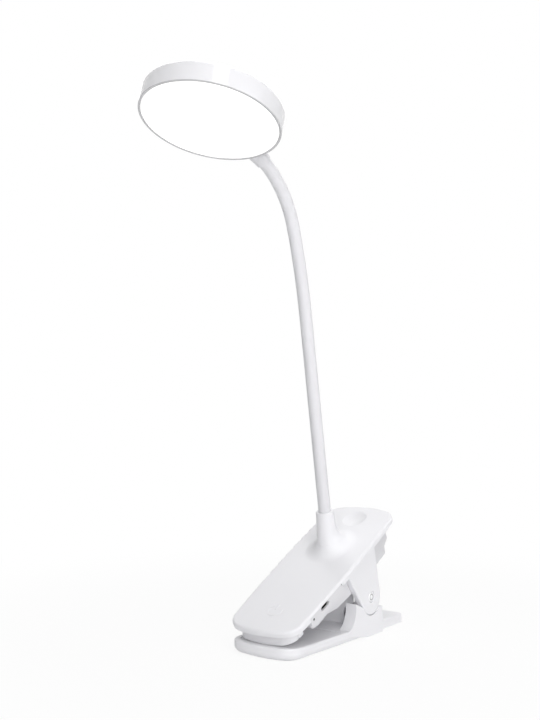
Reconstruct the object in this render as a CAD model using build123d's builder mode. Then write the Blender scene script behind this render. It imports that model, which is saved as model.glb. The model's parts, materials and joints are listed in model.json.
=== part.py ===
"""Clip-on rechargeable reading lamp: a sprung clip, a bendable neck and a flat round light.

Millimetres, +Z up. The lamp stands on its lower jaw: the origin is on the table, straight
below the clip's pivot, X is across the clip, and the nose of the clip and the light point to -Y.
Each piece is written to parts/ as its own STEP file.
"""

import os
from math import acos, atan2, cos, degrees, pi, radians, sin, sqrt, tan

from build123d import *

os.makedirs("parts", exist_ok=True)

# ---- clip: sizes that both jaws share
CLIP_WIDTH = 50.0  # over the ears, and over the lower jaw
PIVOT_Z = 24.7
PIN_R = 2.0
PIN_RUNNING_FIT = 0.06  # radial, pin to ears
PIN_FIXED_FIT = 0.02  # radial, pin to lugs
PIN_HEAD_R = 3.0
PIN_HEAD_T = 0.9
PIN_HEAD_EDGE_R = 0.6
PIN_PROUD = 0.8  # inside the lugs
EAR_T = 3.8
EAR_R = 11.3  # round end of each ear
SIDE_GAP = 0.2  # between faces that slide past or plug into each other
FIT = 0.1  # between pieces that are assembled and stay put

# ---- lower jaw
FOOT_T = 1.0
FOOT_PROUD = 0.4
PLATE_TOP = 7.6
NOSE_Y = -89.0
NOSE_SIDE_Y = -85.5  # where the nose's broad arc meets the sides
NOSE_IN = 0.8  # how far the nose is narrower than the clip, each side
NOSE_CORNER_R = 13.0
PLATE_BOTTOM_R = 4.0
PLATE_TOP_R = 1.0
JAW_REAR_Y = 13.2
TAB_END_Y = 47.6
TAB_IN = 3.4
TAB_TAPER = 0.6
TAB_TOP = 6.2
TAB_CORNER_R = 3.0
CHEEK_T = 7.8
CHEEK_FRONT_Y = -29.0
CHEEK_PEAK = (-19.4, 23.2)  # (y, z) of the point in front of each ear
CHEEK_ARC_R = 14.0
CHEEK_REAR_TOP_Z = 17.2
CHEEK_REAR_T = 1.0  # flat on top of the cheeks' rear
NOTCH_FLANK = 0.6  # share of the ear's radius
CHEEK_TOE_Y = -26.0  # the outer side reaches the plate's raised edge here
CHEEK_HEEL_Y = -6.0  # and stands on the table from here
NOTCH_GAP = 0.35
LUG_R = 8.6
GRIP_INSET = 3.4
GRIP_RECESS = 1.0
GRIP_T = 0.8
GRIP_EDGE_R = 0.25
GRIP_REAR_Y = -31.0
CORE_OUT_INSET = 5.6
CORE_OUT_TOP = 4.6
RIB_T = 1.6
RIB_Y = -36.0
GUARD_T = 1.2  # wall that hides the spring from the mouth
GUARD_GAP = 0.6  # from the wall to the spring's coil
GUARD_TOP_Z = 28.0
GUARD_IN = 1.2  # from the cheeks to the wall
GUARD_NOTCH_W = 7.0  # its lower corners are hollowed out round the coil's ends
GUARD_NOTCH_H = 7.4

# ---- upper jaw: a tilted cover, measured along its slope and square to its rim
COVER_TILT = 27.3
RIM_Y = -32.7
RIM_Z = 41.2
COVER_T = 3.2
COVER_SKIRT = 0.6  # below the rim plane
COVER_WALL = 2.0
COVER_SKIN = 1.8
COVER_EDGE_R = 1.5
COVER_NOSE_S = -61.0
COVER_NOSE_SIDE_S = -57.6
COVER_NOSE_OUT = -0.1  # how far the cover is wider than the ears there, each side
COVER_NOSE_R = 11.0
COVER_MID_OUT = 2.8
COVER_TAIL_S = 75.4
COVER_TAIL_SIDE_S = 70.3
COVER_TAIL_OUT = 1.2
COVER_TAIL_R = 12.0
EAR_FRONT_S = 4.1  # where the ears' edges would meet the rim, without their arches
EAR_REAR_S = 40.6
EAR_REAR_R = 2.0
ARCH_R = 8.6
EAR_EDGE_R = 1.2
PIN_RECESS_R = 3.8
PIN_RECESS_D = 1.3
DISH_S = 60.0
DISH_R = 8.6
DISH_DEPTH = 1.5
DISH_EDGE_R = 0.8
DISH_BOSS_R = 10.6
MARK_S = -41.5
MARK_R = 5.2
MARK_W = 0.9
MARK_T = 0.25
MARK_GAP = 60.0  # degrees left open at the top of the ring
MARK_BAR_RISE = 0.5  # from the ring's centre to the foot of the bar

# ---- battery housing, under the cover
HOUSING_WALL = 1.8
HOUSING_LEDGE = 0.8
HOUSING_FRONT_S = -43.2
HOUSING_CHIN = (-37.6, -10.0)  # (s, h) corners of its underside
HOUSING_BELLY = (-31.5, -11.7)
HOUSING_BELLY_END = (-21.0, -11.7)
HOUSING_WAIST = (-9.5, -15.6)
HOUSING_SPRING = (8.0, -17.4)  # over the spring
HOUSING_GRIP_ROOT = (45.0, -19.0)
HOUSING_STEP_LOW = (57.2, -20.4)
HOUSING_STEP_HIGH = (58.4, -15.6)
HOUSING_STEP_END = (67.6, -13.6)
HOUSING_TAIL_S = 68.6
HOUSING_TAPER_S = 44.0
HOUSING_TAIL_IN = 3.4
HOUSING_TAIL_R = 5.0
HOUSING_STEP_R = 1.2
PANEL_FRONT_S = -42.4  # side panels, level with the cover's sides
PANEL_REAR_S = -4.4  # lower rear corner
PANEL_END_S = -8.0  # upper rear end
PANEL_TOP_H = 1.6
PANEL_FRONT_H = -5.0  # lower edge at the front
PANEL_REAR_H = -5.8
PANEL_IN = 0.25  # from the cover's side to the panel's face
PANEL_WALL = 1.4
PANEL_CORNER_R = 2.2
BATTERY_RIBS = (-11.0, -1.0)

# ---- upper grip pad, under the nose
PAD_IN = 4.0
PAD_FRONT_Y = -83.4
PAD_SIDE_Y = -80.6
PAD_NOSE_R = 10.0
PAD_REAR_S = -46.4
PAD_BOTTOM_H = -6.6
PAD_GROOVE_S = -51.0
PAD_GROOVE_W = 1.4
PAD_GROOVE_D = 0.8

# ---- what the housing holds
BOARD_T = 1.2
BOARD_FRONT_S = -40.4
BOARD_REAR_S = 5.0
BOARD_TOP_H = -1.95
USB_S = -26.8
USB_W = 8.94
USB_T = 3.26
USB_L = 7.3
USB_WALL = 0.35
USB_SLOT_GAP = 0.2
USB_RECESS = 0.35  # from the panel's wall to the socket
USB_TAB_IN = 1.0  # from the socket's mouth to the edge of the board's tab
TONGUE_W = 6.6
TONGUE_T = 0.7
TONGUE_L = 5.2
LED_S = -39.2
LIGHT_PIPE_R = 0.75
LED_W = 1.6
LED_L = 1.6
LED_T = 1.8
LED_EDGE = 0.8  # from the board's edge to the indicator's face
BATTERY_L = 36.0
BATTERY_T = 5.4
BATTERY_FRONT_S = -33.0
BATTERY_EDGE_R = 1.0
TAPE_T = 0.5
TAPE_IN = 3.6  # from the cell's sides
TAPE_L = 7.2
FOIL_T = 0.2
FOIL_L = 8.6
FOIL_W = 13.0
FOIL_S = -41.2
CONTACT_T = 0.3
CONTACT_W = 3.0
CONTACT_HEAD_L = 2.2  # length that touches the foil
CHIP_H = 1.0
CHIPS = (  # (x, s, width, length)
    (-8.0, -26.0, 5.0, 5.0),
    (3.0, -17.0, 4.0, 3.0),
    (-9.0, -10.0, 3.0, 6.0),
    (8.0, -5.0, 6.0, 4.0),
)
LEAD_R = 0.5
LEAD_GAP = 2.0
LEAD_REACH = 1.4
LEAD_BEND_R = 1.0
SCREW_R = 1.25
SCREW_HEAD_R = 2.2
SCREW_HEAD_T = 1.5
SCREW_CROSS_L = 2.6
SCREW_CROSS_W = 0.65
SCREW_CROSS_D = 0.9
SCREW_FRONT_IN = 5.45  # from the housing's side to the screw's axis
SCREW_FRONT_S = 9.6
SCREW_REAR_IN = 8.0
SCREW_REAR_S = 51.5
SCREW_FIT = 0.03
SCREW_BITE = 0.6
SCREW_JOINT_H = -3.0  # where housing and cover bosses meet
SCREW_SEAT_H = -5.2
BOSS_R = 3.5
POST_R = 1.5
POST_IN = 5.5
POST_FRONT_S = -31.0
POST_REAR_S = 1.5

# ---- neck
COLLAR_Y = -17.0
COLLAR_Z = 79.3
NECK_LEAN = 9.5
NECK_R = 4.05
NECK_RUN = 127.4
NECK_EASE_R = 391.0
NECK_EASE = 8.5  # degrees
NECK_CROOK_R = 60.0
NECK_CROOK = 48.0  # degrees
NECK_STATIONS = 9
NECK_GAP = 2.4  # sleeve left open across each station
CORE_R = 2.1
CORE_BORE_R = 1.0
KNUCKLE_R = 2.12  # round end of each core length, about the station's hinge axis
KNUCKLE_FIT = 0.1
SADDLE_START = 1.05
SLEEVE_FIT = 0.04
SLEEVE_RELIEF_R = 2.55  # mouth of each sleeve length, where the knuckle turns in it
SLEEVE_RELIEF_L = 1.1
COLLAR_R = 5.8
COLLAR_LIP = 0.9
COLLAR_LIP_W = 0.7
CONE_L = 30.0
CONE_BASE_R = 7.6
CONE_BLEND_R = 12.0
SLEEVE_SEAT = 9.0  # length of the sleeve inside the cone
BUSH_R = 3.1
BUSH_L = 29.0
NUT_FLATS = 10.0
NUT_T = 3.0
NUT_BOSS_R = 7.4
NUT_BOSS_L = 10.0

# ---- head
HEAD_R = 41.4
HEAD_T = 12.4
HEAD_TILT = 16.2
HEAD_WALL = 1.2
HEAD_BACK = 1.5
HEAD_BACK_R = 1.6
HEAD_RIM_R = 0.35
BOOT_L = 7.5
BOOT_HALF_W = 6.5
BOOT_HALF_H = 4.4
BOOT_R = 4.9
ATTACH_H = 4.6  # of the neck's axis over the face
DIFFUSER_T = 1.5
DIFFUSER_SUNK = 0.25
DIFFUSER_GAP = 0.15
LEDGE_W = 1.4
SOCKET_R = 3.1
SOCKET_L = 8.0
HEAD_BOARD_GAP = 0.4
HEAD_BOARD_T = 1.0
HEAD_BOSS_H = 0.7
HEAD_BOSS_R = 3.0
REFLECTOR_T = 0.3
LED_PACK = (2.8, 3.5, 0.8)
INNER_LEDS = 8
OUTER_LEDS = 16
HEAD_SCREWS = 3
INNER_RING_SHARE = 0.33  # shares of the board's radius
SCREW_RING_SHARE = 0.515
OUTER_RING_SHARE = 0.7
SOCKET_WEB_T = 1.6
SOCKET_WEB_L = 3.8
BOOT_GRIP = 2.0
HEAD_SCREW_R = 1.0
HEAD_SCREW_HEAD_R = 2.0
HEAD_SCREW_HEAD_T = 1.0

# ---- torsion spring, below the pivot
WIRE_R = 0.9
COIL_R = 5.3
COIL_Y = -1.0
COIL_HALF = 13.0  # half the coil's length
COIL_TURNS = 9  # whole turns, besides the part turn between the legs
COIL_SEAT = 0.15  # from the wire to the plate
LOWER_LEG_END_Y = 24.0
UPPER_LEG_AT = (51.2, -20.6)  # (s, h) that the upper leg points at
LEG_SEAT = 0.3


# ---- frames and outlines

TILT = radians(COVER_TILT)
HALF = CLIP_WIDTH / 2
EAR_INNER = HALF - EAR_T
LUG_OUTER = EAR_INNER - SIDE_GAP
HOUSING_HALF = EAR_INNER - SIDE_GAP
HOUSING_TAIL_HALF = HOUSING_HALF - HOUSING_TAIL_IN
NOSE_HALF = HALF - NOSE_IN
TAB_HALF = HALF - TAB_IN
TAB_END_HALF = TAB_HALF - TAB_TAPER
COVER_NOSE_HALF = HALF + COVER_NOSE_OUT
COVER_MID_HALF = HALF + COVER_MID_OUT
COVER_TAIL_HALF = HALF + COVER_TAIL_OUT
PAD_HALF = HALF - PAD_IN
BOARD_HALF = HOUSING_HALF - HOUSING_WALL - SIDE_GAP
LED_FACE_X = BOARD_HALF - LED_EDGE
BATTERY_W = 2 * (HOUSING_HALF - HOUSING_WALL - HOUSING_LEDGE - SIDE_GAP)
BATTERY_REAR_S = BATTERY_FRONT_S + BATTERY_L
SCREW_PLACES = [
    (side * x, s)
    for side in (1, -1)
    for x, s in (
        (HOUSING_HALF - SCREW_FRONT_IN, SCREW_FRONT_S),
        (HOUSING_HALF - SCREW_REAR_IN, SCREW_REAR_S),
    )
]
POST_PLACES = [
    (side * (HOUSING_HALF - POST_IN), s) for side in (1, -1) for s in (POST_FRONT_S, POST_REAR_S)
]
CHEEK_INNER = HALF - CHEEK_T
COIL_Z = PLATE_TOP + COIL_SEAT + WIRE_R + COIL_R
POCKET_H = COVER_T - COVER_SKIN
BOARD_H = BOARD_TOP_H - BOARD_T


def on_jaw(x, s, h):
    """A point of the upper jaw: across, up the cover's slope, and square to its rim plane."""
    return Vector(x, RIM_Y + s * cos(TILT) - h * sin(TILT), RIM_Z + s * sin(TILT) + h * cos(TILT))


def jaw_level(h):
    """Plane parallel to the cover's rim at height h; its sketches read (x, s)."""
    return Plane(origin=on_jaw(0, 0, h), x_dir=(1, 0, 0), z_dir=(0, -sin(TILT), cos(TILT)))


def jaw_side(x):
    """Plane square to X at x; its sketches read (s, h)."""
    return Plane(origin=on_jaw(x, 0, 0), x_dir=(0, cos(TILT), sin(TILT)), z_dir=(1, 0, 0))


def save(part, name):
    """Labels a finished piece and writes it to its own file."""
    part.label = name
    export_step(part, f"parts/{name}.step")


def lower_outline(inset):
    """Plan of the lower jaw's plate: a broad round nose and straight sides."""
    nose_half, half, nose_s = NOSE_HALF - inset, HALF - inset, NOSE_SIDE_Y + inset
    with BuildSketch() as outline:
        with BuildLine():
            ThreePointArc((-nose_half, nose_s), (0, NOSE_Y + inset), (nose_half, nose_s))
            Polyline(
                (nose_half, nose_s),
                (half, CHEEK_FRONT_Y),
                (half, JAW_REAR_Y - inset),
                (-half, JAW_REAR_Y - inset),
                (-half, CHEEK_FRONT_Y),
                (-nose_half, nose_s),
            )
        make_face()
        fillet(outline.vertices().group_by(Axis.Y)[0], NOSE_CORNER_R - inset)
    return outline.sketch


def cover_outline(inset):
    """Plan of the cover along its slope: sides that swell a little, and two broad round ends."""
    nose_half, nose_s = COVER_NOSE_HALF - inset, COVER_NOSE_SIDE_S + inset
    tail_half, tail_s = COVER_TAIL_HALF - inset, COVER_TAIL_SIDE_S - inset
    middle = (COVER_MID_HALF - inset, (nose_s + tail_s) / 2)
    with BuildSketch() as outline:
        with BuildLine():
            ThreePointArc((-nose_half, nose_s), (0, COVER_NOSE_S + inset), (nose_half, nose_s))
            ThreePointArc((nose_half, nose_s), middle, (tail_half, tail_s))
            ThreePointArc((tail_half, tail_s), (0, COVER_TAIL_S - inset), (-tail_half, tail_s))
            ThreePointArc((-tail_half, tail_s), (-middle[0], middle[1]), (-nose_half, nose_s))
        make_face()
        fillet(outline.vertices().group_by(Axis.Y)[0], COVER_NOSE_R - inset)
        fillet(outline.vertices().group_by(Axis.Y)[-1], COVER_TAIL_R - inset)
    return outline.sketch


def side_x(s):
    """Half the cover's width at s, on the arc of its sides."""
    nose, tail = (COVER_NOSE_HALF, COVER_NOSE_SIDE_S), (COVER_TAIL_HALF, COVER_TAIL_SIDE_S)
    side = ThreePointArc(nose, (COVER_MID_HALF, (nose[1] + tail[1]) / 2), tail)
    return side.arc_center.X + sqrt(side.radius**2 - (s - side.arc_center.Y) ** 2)


USB_MOUTH_X = side_x(USB_S) - PANEL_IN - PANEL_WALL - USB_RECESS
# where the panels' leaning rear ends pass the rim
PANEL_LEAN = (PANEL_REAR_S - PANEL_END_S) / (PANEL_TOP_H - PANEL_REAR_H)
PANEL_RIM_S = PANEL_END_S + PANEL_LEAN * (PANEL_TOP_H + COVER_SKIRT)

# ---- the neck's centreline: a leaning run, a gentle ease and the crook below the light

EASE_L = NECK_EASE_R * radians(NECK_EASE)
CROOK_L = NECK_CROOK_R * radians(NECK_CROOK)
NECK_L = NECK_RUN + EASE_L + CROOK_L
STATION_GAP = NECK_L / NECK_STATIONS
STATIONS = [(k + 0.5) * STATION_GAP for k in range(NECK_STATIONS)]


def bend_from(point, lean, radius, angle):
    """Where an arc that leans the neck further forward ends, from its start, lean and radius."""
    across = radius * (cos(radians(lean)) - cos(radians(lean + angle)))
    up = radius * (sin(radians(lean + angle)) - sin(radians(lean)))
    return Vector(0, point.Y - across, point.Z + up)


def neck_at(distance):
    """A point of the neck's centreline and how far it leans forward there, in degrees."""
    collar = Vector(0, COLLAR_Y, COLLAR_Z)
    run = min(distance, NECK_RUN)
    point = collar + neck_direction(NECK_LEAN) * run
    lean = NECK_LEAN
    if distance > NECK_RUN:
        turn = degrees(min(distance - NECK_RUN, EASE_L) / NECK_EASE_R)
        point = bend_from(point, lean, NECK_EASE_R, turn)
        lean += turn
    if distance > NECK_RUN + EASE_L:
        turn = degrees(min(distance - NECK_RUN - EASE_L, CROOK_L) / NECK_CROOK_R)
        point = bend_from(point, lean, NECK_CROOK_R, turn)
        lean += turn
    if distance > NECK_L:
        point += neck_direction(lean) * (distance - NECK_L)
    return point, lean


def neck_direction(lean):
    return Vector(0, -sin(radians(lean)), cos(radians(lean)))


def neck_plane(distance):
    """Plane square to the neck at a distance along it."""
    point, lean = neck_at(distance)
    return Plane(origin=point, x_dir=(1, 0, 0), z_dir=neck_direction(lean))


def neck_path(start, end):
    """The neck's centreline between two distances along it."""
    marks = [start, *(m for m in (0, NECK_RUN, NECK_RUN + EASE_L, NECK_L) if start < m < end), end]
    with BuildLine() as path:
        for near, far in zip(marks, marks[1:]):
            first, middle, last = (neck_at(d)[0] for d in (near, (near + far) / 2, far))
            if far <= NECK_RUN or near >= NECK_L:
                Line(first, last)
            else:
                ThreePointArc(first, middle, last)
    return path.wire()


def station_axis(k):
    """Hinge axis of station k, from 1: odd ones nod the light, even ones swing it sideways."""
    _, lean = neck_at(STATIONS[k - 1])
    if k % 2:
        return Vector(1, 0, 0)
    return Vector(0, cos(radians(lean)), sin(radians(lean)))


def station_plane(k):
    """Plane square to station k's hinge axis, with its Y along the neck."""
    point, lean = neck_at(STATIONS[k - 1])
    along, axis = neck_direction(lean), station_axis(k)
    return Plane(origin=point, x_dir=along.cross(axis), z_dir=axis)


# ---- lower jaw

with BuildPart() as lower_jaw:
    with BuildSketch(Plane.XY.offset(FOOT_PROUD)):
        add(lower_outline(0))
    extrude(amount=PLATE_TOP - FOOT_PROUD)
    fillet(lower_jaw.faces().sort_by(Axis.Z)[0].edges(), PLATE_BOTTOM_R)
    fillet(lower_jaw.faces().sort_by(Axis.Z)[-1].edges(), PLATE_TOP_R)
    # tab under the handle
    with BuildSketch(Plane.XY.offset(FOOT_PROUD)) as tab_plan:
        with BuildLine():
            Polyline(
                (-TAB_HALF, JAW_REAR_Y - CHEEK_T),
                (TAB_HALF, JAW_REAR_Y - CHEEK_T),
                (TAB_HALF, JAW_REAR_Y),
                (TAB_END_HALF, TAB_END_Y),
                (-TAB_END_HALF, TAB_END_Y),
                (-TAB_HALF, JAW_REAR_Y),
                close=True,
            )
        make_face()
        fillet(tab_plan.vertices().group_by(Axis.Y)[-1], TAB_CORNER_R)
    extrude(amount=TAB_TOP - FOOT_PROUD)
    tab_rim = lower_jaw.edges().filter_by_position(Axis.Z, TAB_TOP - FIT, TAB_TOP + FIT)
    fillet(tab_rim.filter_by_position(Axis.Y, JAW_REAR_Y + FIT, TAB_END_Y + FIT), PLATE_TOP_R)
    # cheeks: a round notch holds each ear's end, a hollow front edge sweeps up to a point
    for side in (-1, 1):
        inner = min(side * CHEEK_INNER, side * HALF)
        with BuildSketch(Plane.YZ.offset(inner)):
            with BuildLine():
                foot = (CHEEK_FRONT_Y, PLATE_TOP - PLATE_TOP_R)
                RadiusArc(foot, CHEEK_PEAK, -CHEEK_ARC_R)
                Polyline(
                    CHEEK_PEAK,
                    (-EAR_R * NOTCH_FLANK, PIVOT_Z - EAR_R * NOTCH_FLANK),
                    (EAR_R * NOTCH_FLANK, PIVOT_Z - EAR_R * NOTCH_FLANK),
                    (JAW_REAR_Y - CHEEK_REAR_T, CHEEK_REAR_TOP_Z),
                    (JAW_REAR_Y, CHEEK_REAR_TOP_Z),
                    (JAW_REAR_Y, FOOT_PROUD),
                    (CHEEK_HEEL_Y, FOOT_PROUD),
                    (CHEEK_TOE_Y, PLATE_BOTTOM_R),
                    foot,
                )
            make_face()
        extrude(amount=CHEEK_T)
        # lug round the pin, inside the ear
        inner = min(side * CHEEK_INNER, side * LUG_OUTER)
        with BuildSketch(Plane.YZ.offset(inner)):
            with Locations((0, PIVOT_Z)):
                Circle(LUG_R)
            with Locations((0, FOOT_PROUD)):
                Rectangle(2 * LUG_R, PIVOT_Z - FOOT_PROUD, align=(Align.CENTER, Align.MIN))
        extrude(amount=LUG_OUTER - CHEEK_INNER)
        # room for the ear
        inner = LUG_OUTER if side > 0 else -HALF - SIDE_GAP
        with BuildSketch(Plane.YZ.offset(inner)):
            with Locations((0, PIVOT_Z)):
                Circle(EAR_R + NOTCH_GAP)
        extrude(amount=HALF + SIDE_GAP - LUG_OUTER, mode=Mode.SUBTRACT)
    # pin hole
    with BuildSketch(Plane.YZ):
        with Locations((0, PIVOT_Z)):
            Circle(PIN_R + PIN_FIXED_FIT)
    extrude(amount=HALF, both=True, mode=Mode.SUBTRACT)
    # guard wall in front of the spring
    guard_half = CHEEK_INNER - GUARD_IN
    with BuildSketch(Plane.XZ.offset(GUARD_GAP + WIRE_R + COIL_R - COIL_Y)):
        with Locations((0, PLATE_BOTTOM_R)):
            Rectangle(2 * guard_half, GUARD_TOP_Z - PLATE_BOTTOM_R, align=(Align.CENTER, Align.MIN))
        with Locations((guard_half, COIL_Z), (-guard_half, COIL_Z)):
            Ellipse(GUARD_NOTCH_W, GUARD_NOTCH_H, mode=Mode.SUBTRACT)
    extrude(amount=GUARD_T)
    # recess for the grip sheet
    with BuildSketch(Plane.XY.offset(PLATE_TOP - GRIP_RECESS)):
        add(lower_outline(GRIP_INSET))
        with Locations((0, GRIP_REAR_Y)):
            Rectangle(4 * HALF, 4 * HALF, align=(Align.CENTER, Align.MIN), mode=Mode.SUBTRACT)
    extrude(amount=2 * GRIP_RECESS, mode=Mode.SUBTRACT)
    # underside: cored out between ribs, inside a shallow recess for the foot
    with BuildSketch(Plane.XY):
        add(lower_outline(PLATE_BOTTOM_R + FIT))
    extrude(amount=FOOT_T, mode=Mode.SUBTRACT)
    with BuildSketch(Plane.XY):
        add(lower_outline(CORE_OUT_INSET))
        Rectangle(RIB_T, 4 * HALF, mode=Mode.SUBTRACT)
        with Locations((0, RIB_Y)):
            Rectangle(2 * HALF, RIB_T, mode=Mode.SUBTRACT)
    extrude(amount=CORE_OUT_TOP, mode=Mode.SUBTRACT)
save(lower_jaw.part, "lower_jaw")

with BuildPart() as foot_pad:
    with BuildSketch(Plane.XY):
        add(lower_outline(PLATE_BOTTOM_R + 2 * FIT))
    extrude(amount=FOOT_T)
save(foot_pad.part, "foot_pad")

with BuildPart() as lower_grip:
    with BuildSketch(Plane.XY.offset(PLATE_TOP - GRIP_RECESS)):
        add(lower_outline(GRIP_INSET + FIT))
        with Locations((0, GRIP_REAR_Y - FIT)):
            Rectangle(4 * HALF, 4 * HALF, align=(Align.CENTER, Align.MIN), mode=Mode.SUBTRACT)
    extrude(amount=GRIP_T)
    fillet(lower_grip.faces().sort_by(Axis.Z)[-1].edges(), GRIP_EDGE_R)
save(lower_grip.part, "lower_grip")


# ---- pivot pins and torsion spring

with BuildPart() as pivot_pins:
    recess_floor = HALF - PIN_RECESS_D + SIDE_GAP / 4
    inner_end = CHEEK_INNER - PIN_PROUD
    for side in (-1, 1):
        with BuildSketch(Plane.YZ.offset(side * inner_end)):
            with Locations((0, PIVOT_Z)):
                Circle(PIN_R)
        extrude(amount=side * (recess_floor - inner_end))
        with BuildSketch(Plane.YZ.offset(side * recess_floor)):
            with Locations((0, PIVOT_Z)):
                Circle(PIN_HEAD_R)
        extrude(amount=side * PIN_HEAD_T)
    ends = pivot_pins.faces().filter_by(Axis.X).sort_by(Axis.X)
    fillet([ends[0].edges()[0], ends[-1].edges()[0]], PIN_HEAD_EDGE_R)
save(pivot_pins.part, "pivot_pins")


def leg_angle(target, side):
    """Where round the coil a leg that points at target leaves it, in degrees; side is +1 or -1."""
    across, up = target.Y - COIL_Y, target.Z - COIL_Z
    return degrees(atan2(up, across) + side * acos(COIL_R / sqrt(across**2 + up**2)))


LOWER_LEG_END = Vector(0, LOWER_LEG_END_Y, COIL_Z - COIL_R)
UPPER_LEG_END = on_jaw(0, *UPPER_LEG_AT)
LOWER_LEG_ANGLE = leg_angle(LOWER_LEG_END, -1)
UPPER_LEG_ANGLE = leg_angle(UPPER_LEG_END, 1)
COIL_SWEEP = 360 * COIL_TURNS + (LOWER_LEG_ANGLE - UPPER_LEG_ANGLE) % 360
COIL_PITCH = 2 * COIL_HALF / (COIL_SWEEP / 360)

# the coil winds from its +X end towards -X
COIL_PLANE = Plane(
    origin=(COIL_HALF, COIL_Y, COIL_Z),
    x_dir=(0, cos(radians(LOWER_LEG_ANGLE)), sin(radians(LOWER_LEG_ANGLE))),
    z_dir=(-1, 0, 0),
)
coil = COIL_PLANE * Helix(pitch=COIL_PITCH, height=2 * COIL_HALF, radius=COIL_R)
coil_start, coil_end = coil @ 0, coil @ 1
LOWER_LEG_DIR = -(coil % 0)
UPPER_LEG_DIR = coil % 1


def leg_length(start, target):
    """Length of a leg from the coil to just short of what it points at."""
    return Vector(0, target.Y - start.Y, target.Z - start.Z).length - WIRE_R - LEG_SEAT


with BuildPart() as torsion_spring:
    with BuildSketch(Plane(origin=coil_start, z_dir=coil % 0)):
        Circle(WIRE_R)
    sweep(path=Wire([coil]), is_frenet=True)
    with BuildSketch(Plane(origin=coil_start, z_dir=LOWER_LEG_DIR)):
        Circle(WIRE_R)
    extrude(amount=leg_length(coil_start, LOWER_LEG_END))
    with BuildSketch(Plane(origin=coil_end, z_dir=UPPER_LEG_DIR)):
        Circle(WIRE_R)
    extrude(amount=leg_length(coil_end, UPPER_LEG_END))
save(torsion_spring.part, "torsion_spring")


# ---- upper shell: cover, ears and the cone that carries the neck

PIVOT_S = -RIM_Y * cos(TILT) + (PIVOT_Z - RIM_Z) * sin(TILT)
PIVOT_H = RIM_Y * sin(TILT) + (PIVOT_Z - RIM_Z) * cos(TILT)
EAR_TOP_H = POCKET_H + COVER_SKIN / 2


def touch_point(s, side):
    """Where a line from (s, 0) on the rim touches the ear's round end; side is +1 or -1."""
    across, up = s - PIVOT_S, -PIVOT_H
    turn = atan2(up, across) + side * acos(EAR_R / sqrt(across**2 + up**2))
    return PIVOT_S + EAR_R * cos(turn), PIVOT_H + EAR_R * sin(turn)


def ear(side):
    """One ear of the upper shell, with an arch in front of it and a small one behind."""
    with BuildPart() as solid:
        with BuildSketch(jaw_side(side * EAR_INNER)) as profile:
            with BuildLine():
                front, rear = touch_point(EAR_FRONT_S, 1), touch_point(EAR_REAR_S, -1)
                ThreePointArc(front, (PIVOT_S, PIVOT_H - EAR_R), rear)
                Polyline(
                    rear,
                    (EAR_REAR_S, 0),
                    (EAR_REAR_S + 2 * EAR_REAR_R, 0),
                    (EAR_REAR_S + 2 * EAR_REAR_R, EAR_TOP_H),
                    (PANEL_RIM_S + FIT, EAR_TOP_H),
                    (PANEL_RIM_S + FIT, 0),
                    (EAR_FRONT_S, 0),
                    front,
                )
            make_face()
            rim_corners = profile.vertices().filter_by_position(Axis.Y, -FIT, FIT).sort_by(Axis.X)
            fillet(rim_corners[1], ARCH_R)
            fillet(rim_corners[2], EAR_REAR_R)
        extrude(amount=side * EAR_T)
        outer = solid.faces().filter_by(Axis.X).sort_by(Axis.X)[-1 if side > 0 else 0]
        down = Axis((0, 0, 0), jaw_level(0).z_dir)
        rim_height = on_jaw(0, 0, 0).dot(jaw_level(0).z_dir)
        edges = outer.edges().filter_by_position(down, -2 * CLIP_WIDTH, rim_height - FIT)
        fillet(edges, EAR_EDGE_R)
    return solid.part


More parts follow.
